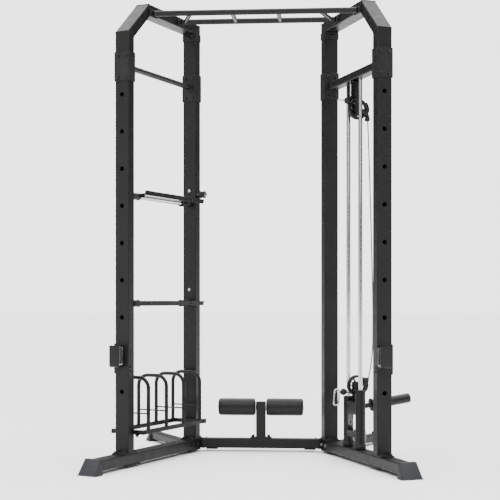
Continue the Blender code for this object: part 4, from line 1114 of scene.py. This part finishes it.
def cable():
    """Three pieces: over the upper wheel, the slack run, and round the lower wheel."""
    reach = WHEEL_RADIUS - GROOVE_DEPTH + CABLE_RADIUS + CABLE_LIFT
    first = (UPPER_BALL[0] + BALL_RADIUS * 0.8, UPPER_BALL[1])
    last = (LOWER_BALL[0] + BALL_RADIUS * 0.8, LOWER_BALL[1])
    upper = arc(UPPER_WHEEL, reach, tangent_angle(UPPER_WHEEL, first, reach, -1), 0, 24)
    lower = arc(LOWER_WHEEL, reach, 0, tangent_angle(LOWER_WHEEL, last, reach, 1), 24)
    start, end = upper[-1], lower[0]
    steps = 60
    run = []
    for i in range(steps + 1):
        share = i / steps
        bow = CABLE_BOW * share ** 0.75 * (1 - share ** 12)
        run.append((start[0] + (end[0] - start[0]) * share + bow, start[1] + (end[1] - start[1]) * share))

    def strand(points):
        return sweep([RIGHT(w, PULLEY_AT, z) for w, z in points], [disc(CABLE_RADIUS, 14)], RIGHT.along)

    piece("cable_over_upper_wheel", strand([first] + upper), WIRE, "pulley_cable")
    piece("cable_round_lower_wheel", strand(lower + [last]), WIRE, "pulley_cable", body="carriage")
    hanging = piece("cable_run", strand(run), WIRE, "pulley_cable")
    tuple(RIGHT(start[0], PULLEY_AT, start[1]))
    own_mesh(hanging)


def ball(name, node, center, body):
    """A rubber ball stop with its parting line and a steel ferrule."""
    out, up = center
    r = BALL_RADIUS
    profile = []
    for k in range(25):
        a = radians(-75 + 150 * k / 24)
        seam = 0.0004 if abs(a) < 0.06 else 0.0
        profile.append(((r + seam) * cos(a), r * sin(a)))
    at = RIGHT(out, PULLEY_AT, up)
    piece(f"{name}_ball", turned(at, RIGHT.out, profile, 40), RUBBER, node, body=body)
    ferrule = [(0.0050, 0.014), (0.0058, 0.015), (0.0058, 0.0185), (0.0045, 0.0195)]
    piece(f"{name}_ferrule", turned(at, RIGHT.out, ferrule, 24), ZINC, body=body)


def cable_eye():
    """The steel loop on the cable's upper end."""
    tip = UPPER_BALL[0] - BALL_RADIUS - 0.0022
    half, length, wire = 0.008, 0.031, 0.0022
    outline = arc((tip - half, PULLEY_AT), half, -90, 90, 14)
    outline += arc((tip - length + half, PULLEY_AT), half, 90, 270, 14)
    path = [RIGHT(w, u, UPPER_BALL[1]) for w, u in outline]
    neck = rod(RIGHT(tip + 0.006, PULLEY_AT, UPPER_BALL[1]), RIGHT(tip - 0.003, PULLEY_AT, UPPER_BALL[1]),
               0.0045,
               count=24)
    mesh = joined([sweep(path, [disc(wire, 14)], UP, closed=True), neck])
    piece("cable_eye_loop", mesh, CHROME, "upper_cable_eye")


def hook():
    """The snap hook on the cable's lower end, with its sprung gate and the eye that holds it."""
    half, length, wire = 0.013, 0.078, 0.0038
    gate_low, gate_high = 0.020, 0.058
    out, up = LOWER_BALL
    eye = RIGHT(out - BALL_RADIUS - half - wire - GAP, PULLEY_AT, up + half)
    direction = (RIGHT.out * -0.08 - UP).normalized()
    across = RIGHT.out * direction.z - UP * direction.dot(RIGHT.out)
    across.normalize()
    outline = [(gate_high, half), (gate_high + 0.004, half)] + arc((length - half, 0), half, 80, -90, 16)
    outline += arc((half, 0), half, -90, -270, 16) + [(gate_low, half)]
    path = [eye + direction * a + across * b for a, b in outline]
    piece("hook_loop", sweep(path, [disc(wire, 16)], RIGHT.along), CHROME, "lower_carabiner",
          body="lower_hook")
    start, end = (eye + direction * a + across * half for a in (gate_low + 0.0026, gate_high - 0.001))
    profile = [(0.0022, 0), (0.003, 0.001), (0.003, 0.028), (0.0026, 0.030), (0.0026, 0.033),
               (0.0018, 0.0344)]
    piece("hook_gate", turned(start, end - start, profile, 24), ZINC, "lower_carabiner_gate",
          body="lower_gate")
    ring_center = RIGHT(out - BALL_RADIUS - 0.0095, PULLEY_AT, up + 0.001)
    path = [ring_center + RIGHT.out * (0.0085 * cos(t)) + RIGHT.along * (0.0068 * sin(t))
            for t in turns(28)]
    piece("lower_cable_eye", sweep(path, [disc(0.0018, 12)], UP, closed=True), CHROME, body="carriage")


# ---------------------------------------------------------------- hooks and rollers
def j_cup(side):
    """The hook: back plate with cheeks, welded floor and lip, and a steel liner."""
    name, body = side.name, f"{side.name}_cup"
    shift = side.sign * CUP_SHIFT
    face = -FACE_U - GAP
    half = FACE_W + GAP + CHEEK_THICK
    back = [side(w, face, z) for w, z in
            fillet([(-half, CUP_LOW), (half, CUP_LOW), (half, CUP_HIGH), (-half, CUP_HIGH)], 0.004)]
    meshes = [slab(back, -side.along * CUP_THICK)]
    for sign in (-1, 1):
        corners = [(face - CUP_THICK / 2, CUP_LOW), (face + CHEEK_DEEP - 0.008, CUP_LOW),
                   (face + CHEEK_DEEP, CUP_LOW + 0.008),
                   (face + CHEEK_DEEP, CHEEK_TOP - 0.008), (face + CHEEK_DEEP - 0.010, CHEEK_TOP),
                   (face - CUP_THICK / 2, CHEEK_TOP)]
        points = [side(sign * (half - CHEEK_THICK), u, z) for u, z in fillet(corners, 0.003)]
        meshes.append(slab(points, side.out * (sign * CHEEK_THICK)))
    piece(f"{name}_cup_back", joined(meshes), PAINT, f"{name}_j_cup", body=body, edge=0.0009)
    lip = face - CUP_REACH + CUP_THICK / 2
    path = fillet([(face - CUP_THICK / 2, 0.482), (lip, 0.476), (lip, CUP_LIP_TOP)], 0.010, 8, False)
    strip = rectangle(2 * CUP_LIP_HALF, CUP_THICK, 0.0009, 2)
    piece(f"{name}_cup_lip", sweep([side(shift, u, z) for u, z in path], [strip], side.out), PAINT,
          body=body)
    inner_back, inner_lip = face - CUP_THICK - 0.0015, lip + CUP_THICK / 2 + 0.0015
    path = [(inner_back, CUP_LIP_TOP - 0.006), (inner_back, 0.4862), (inner_lip, 0.4812),
            (inner_lip, CUP_LIP_TOP - 0.006)]
    path = fillet(path, 0.009, 8, False)
    strip = rectangle(2 * CUP_LIP_HALF - 0.004, 0.003, 0.0009, 2)
    piece(f"{name}_cup_liner", sweep([side(shift, u, z) for u, z in path], [strip], side.out), LINER,
          body=body)
    spots = [side(-half, face + 0.011, z) for z in (0.458, 0.476)]
    fasteners(f"{name}_cup_bolts", spots, -side.out, 0.0026, BLACK_BOLT, body)
    z = HOLE_TOP - 7 * HOLE_PITCH
    pin = [(HOLE_RADIUS - 0.001, 0), (HOLE_RADIUS - 0.001, 0.032), (HOLE_RADIUS - 0.003, 0.0345)]
    piece(f"{name}_cup_pin", turned(side(0, face - 0.002, z), side.along, pin, 32), ZINC, body=body)
    seam = [side(shift + w, face - CUP_THICK, 0.4845) for w in (-CUP_LIP_HALF + 0.004,
            CUP_LIP_HALF - 0.004)]
    welds(f"{name}_cup_weld", [bead([p - UP * 0.0065 for p in seam], UP, 0.0022, closed=False)], body)


def roller_stand():
    """The post, its foot plate and the axle."""
    y, low = CROSS_Y, RAIL_HIGH + GAP
    bore = ROLLER_BORE
    path = [Vector((0, y, low)), Vector((0, y, POST_TOP))]
    mesh = sweep(path, tube_sections(POST_WIDE, POST_DEEP, 0.004), RIGHTWARD)
    tool = turned(Vector((-POST_WIDE, y, ROLLER_Z)), RIGHTWARD, [(bore, 0), (bore, 2 * POST_WIDE)], 36)
    piece("stand_post", drilled(mesh, [tool]), PAINT, "roller_post", flat=True)
    cap = [(POST_WIDE - 0.001, POST_DEEP - 0.001, -0.0004), (POST_WIDE - 0.001, POST_DEEP - 0.001, 0.0012),
           (POST_WIDE - 0.006, POST_DEEP - 0.006, 0.0022)]
    piece("stand_cap", lofted(Vector((0, y, POST_TOP)), UP, RIGHTWARD, cap, 0.004), RUBBER)
    outline = [Vector((a, y + b, low)) for a, b in rectangle(0.112, 0.050, 0.005)]
    piece("stand_foot", slab(outline, UP * FLANGE_THICK), PLATE_PAINT, edge=0.0008)
    ring = [Vector((a, y + b, low + FLANGE_THICK + 0.0006)) for a, b in rectangle(POST_WIDE + 0.001,
            POST_DEEP + 0.001, 0.004)]
    welds("stand_weld", [bead(ring, UP, 0.0024)])
    spots = [Vector((sign * 0.041, y, low + FLANGE_THICK)) for sign in (-1, 1)]
    fasteners("stand_bolts", spots, UP, 0.005, BLACK_BOLT, kind=lock_nut)
    reach = ROLLER_OUTER + 0.004
    axle = rod(Vector((-reach, y, ROLLER_Z)), Vector((reach, y, ROLLER_Z)), 0.0125, count=40)
    collars = []
    for sign in (-1, 1):
        at = Vector((sign * (POST_WIDE / 2 + GAP), y, ROLLER_Z))
        collars.append(turned(at, RIGHTWARD * sign, [(0.0165, 0), (0.0175, 0.0008), (0.0175, 0.0024),
                (0.0165, 0.0030)], 36))
    piece("stand_axle", joined([axle, *collars]), CHROME, "roller_axle")


def foam_roller(sign, name):
    """A vinyl-covered foam roller: crowned, softly dented, gathered and seamed at its ends."""
    length, r, bore = ROLLER_OUTER - ROLLER_INNER, ROLLER_RADIUS, ROLLER_BORE
    count, stations = 96, 64
    start = Vector((sign * ROLLER_INNER, CROSS_Y, ROLLER_Z))
    axis = RIGHTWARD * sign
    first, second = square_to(axis)
    edge = 0.012

    def radius_at(distance):
        near = min(distance, length - distance)
        drop = edge - (edge ** 2 - (edge - near) ** 2) ** 0.5 if near < edge else 0.0
        seam = -0.0007 * max(0.0, 1 - abs(near - ROLLER_SEAM_AT) / 0.0016)
        return r - 0.0014 + 0.0006 * sin(pi * distance / length) - drop + seam

    distances = [edge * (1 - cos(pi / 2 * k / 8)) for k in range(9)]
    distances += [edge + (length - 2 * edge) * k / stations for k in range(1, stations)]
    distances += [length - d for d in reversed(distances[:9])]
    loops = []
    for distance in distances:
        loop = []
        for t in turns(count):
            where = Vector((distance * 26 + sign * 7, cos(t) * 1.3, sin(t) * 1.3))
            near = min(distance, length - distance)
            gather = 0.0005 * sin(t * 24) * max(0.0, 1 - near / 0.010)
            swell = radius_at(distance) + 0.0007 * noise.noise(where) + gather
            loop.append(start + axis * distance + (first * cos(t) + second * sin(t)) * swell)
        loops.append(loop)
    ends = [(0.0315, length - 0.0012), (bore + 0.010, length - 0.0040), (bore + 0.0012, length - 0.0042),
            (bore + 0.0012, 0.0042), (bore + 0.010, 0.0040), (0.0315, 0.0012)]
    for radius, distance in ends:
        loops.append(circle(start + axis * distance, first, second, radius, count))
    roller = piece(f"{name}_roller_pad", skin(loops, ring=True), VINYL, f"{name}_foam_roller",
                   body=f"{name}_roller", sharp=60)
    stitches = []
    for near in (ROLLER_SEAM_AT, length - ROLLER_SEAM_AT):
        for k in range(72):
            t = 2 * pi * k / 72
            radial = first * cos(t) + second * sin(t)
            tangent = first * -sin(t) + second * cos(t)
            at = start + axis * near + radial * (radius_at(near) + 0.0004)
            stitches.append(rod(at - tangent * 0.0011, at + tangent * 0.0011, 0.00035, edge=0.0001,
                                count=6))
    piece(f"{name}_roller_stitches", joined(stitches), RUBBER, body=f"{name}_roller")
    caps = []
    for distance, turn in ((0.0040, -1), (length - 0.0040, 1)):
        outline = fillet([(bore, 0), (0.0225, 0), (0.0225, 0.0018), (0.0150, 0.0034), (bore, 0.0034)],
                         0.0006, 3)
        caps.append(turned(start + axis * distance, axis * turn, outline, 48, ring=True))
    piece(f"{name}_roller_caps", joined(caps), NYLON, body=f"{name}_roller")


# ---------------------------------------------------------------- stage
HORIZON_LIGHT, ZENITH_LIGHT, BACKGROUND_LIGHT = 0.10, 4.8, 3.15


def camera():
    data = bpy.data.cameras.new("camera")
    data.lens, data.sensor_width = 81.8, 36.0
    data.shift_y = 0.099
    data.clip_end = 200
    item = bpy.data.objects.new("camera", data)
    item.location = (0.3697, FRONT_UPRIGHT.y - 5.3123, 0.7933)
    item.rotation_euler = (pi / 2, 0, 0.0717)
    bpy.context.scene.collection.objects.link(item)
    bpy.context.scene.camera = item


def stage():
    """Pale floor, a sky bright overhead and three soft lights."""
    size = 60
    mesh = bpy.data.meshes.new("floor")
    mesh.from_pydata([(-size, -size, 0), (size, -size, 0), (size, size, 0), (-size, size, 0)], [],
                     [(0, 1, 2, 3)])
    floor = bpy.data.objects.new("studio_floor", mesh)
    bpy.context.scene.collection.objects.link(floor)
    look = Look("studio_floor")
    look.color(look.noise(0.4, 2.0), (0.3, (0.90, 0.90, 0.90)), (0.7, (0.93, 0.93, 0.93)))
    look.shader.inputs["Roughness"].default_value = 0.6
    mesh.materials.append(look.material)
    world = bpy.data.worlds.new("studio")
    world.use_nodes = True
    nodes, links = world.node_tree.nodes, world.node_tree.links
    background = nodes["Background"]
    background.inputs["Color"].default_value = (1, 1, 1, 1)
    direction = nodes.new("ShaderNodeTexCoord").outputs["Generated"]
    split = nodes.new("ShaderNodeSeparateXYZ")
    links.new(direction, split.inputs[0])
    dome = nodes.new("ShaderNodeMapRange")
    dome.interpolation_type = "SMOOTHSTEP"
    links.new(split.outputs["Z"], dome.inputs["Value"])
    dome.inputs["From Min"].default_value = 0.22
    dome.inputs["From Max"].default_value = 0.85
    dome.inputs["To Min"].default_value = HORIZON_LIGHT
    dome.inputs["To Max"].default_value = ZENITH_LIGHT
    seen = nodes.new("ShaderNodeLightPath").outputs["Is Camera Ray"]
    strength = nodes.new("ShaderNodeMix")
    links.new(seen, strength.inputs[0])
    links.new(dome.outputs["Result"], strength.inputs[2])
    strength.inputs[3].default_value = BACKGROUND_LIGHT
    links.new(strength.outputs[0], background.inputs["Strength"])
    bpy.context.scene.world = world
    lamps = (("left_wall", (-5.2, -4.0, 2.4), (0, -0.2, 1.2), 3.0, 4.0, 75),
             ("right_wall", (5.2, -4.6, 2.4), (0, -0.2, 1.2), 3.0, 4.0, 45),
             ("front_wall", (0.6, -8.0, 3.4), (0, 0, 1.0), 1.6, 3.0, 90))
    for name, place, aim, wide, tall, power in lamps:
        data = bpy.data.lights.new(name, "AREA")
        data.shape = "RECTANGLE"
        data.size, data.size_y, data.energy = wide, tall, power
        lamp = bpy.data.objects.new(name, data)
        lamp.location = place
        lamp.rotation_euler = (Vector(aim) - Vector(place)).to_track_quat("-Z", "Y").to_euler()
        bpy.context.scene.collection.objects.link(lamp)


# ---------------------------------------------------------------- assembly
LOCK_PAINT = powder_coat("lock_plate_coat", (0.034, 0.034, 0.035), (0.052, 0.052, 0.054), (0.36, 0.5))

camera()
cable()
for each in SIDES:
    base_rail(each)
    boot(f"{each.name}_front", f"{each.name}_front_foot", each(0, RAIL_ENDS[0], 0), -each.along, each.out,
         top(f"{each.name}_front_foot"), WIDE)
    rear_leg(each)
    for label, along in (("front", 0.0), ("rear", SIDE_LENGTH)):
        upright(each, label, along)
        collar(each, label, along)
    top_frame(each)
    rear_corner(each)
    j_cup(each)
crossmember()
ladder()
grip_bar()
for level in SPOTTERS:
    spotter(level)
latch_pin()
plate_rack()
pulley_beam()
guide_rods()
wheel("upper_wheel", "upper_pulley_wheel", UPPER_WHEEL, "upper_wheel")
wheel("lower_wheel", "lower_pulley_wheel", LOWER_WHEEL, "lower_wheel")
pulley_bracket("upper_pulley", "upper_pulley_bracket", UPPER_WHEEL, BEAM_LOW - GAP, 1.693, "frame")
pulley_bracket("lower_pulley", "lower_pulley_bracket", LOWER_WHEEL, BRIDGE_HIGH + GAP, 0.388, "carriage")
cable_guard("upper_pulley", UPPER_WHEEL, 42, -34, -1, 0.005, "frame")
cable_guard("lower_pulley", LOWER_WHEEL, -42, 34, 1, -0.016, "carriage")
cable_fork()
carriage()
loading_peg()
ball("upper_stop", "upper_ball_stop", UPPER_BALL, "frame")
ball("lower_stop", "lower_ball_stop", LOWER_BALL, "carriage")
cable_eye()
hook()
roller_stand()
foam_roller(-1, "left")
foam_roller(1, "right")
stage()
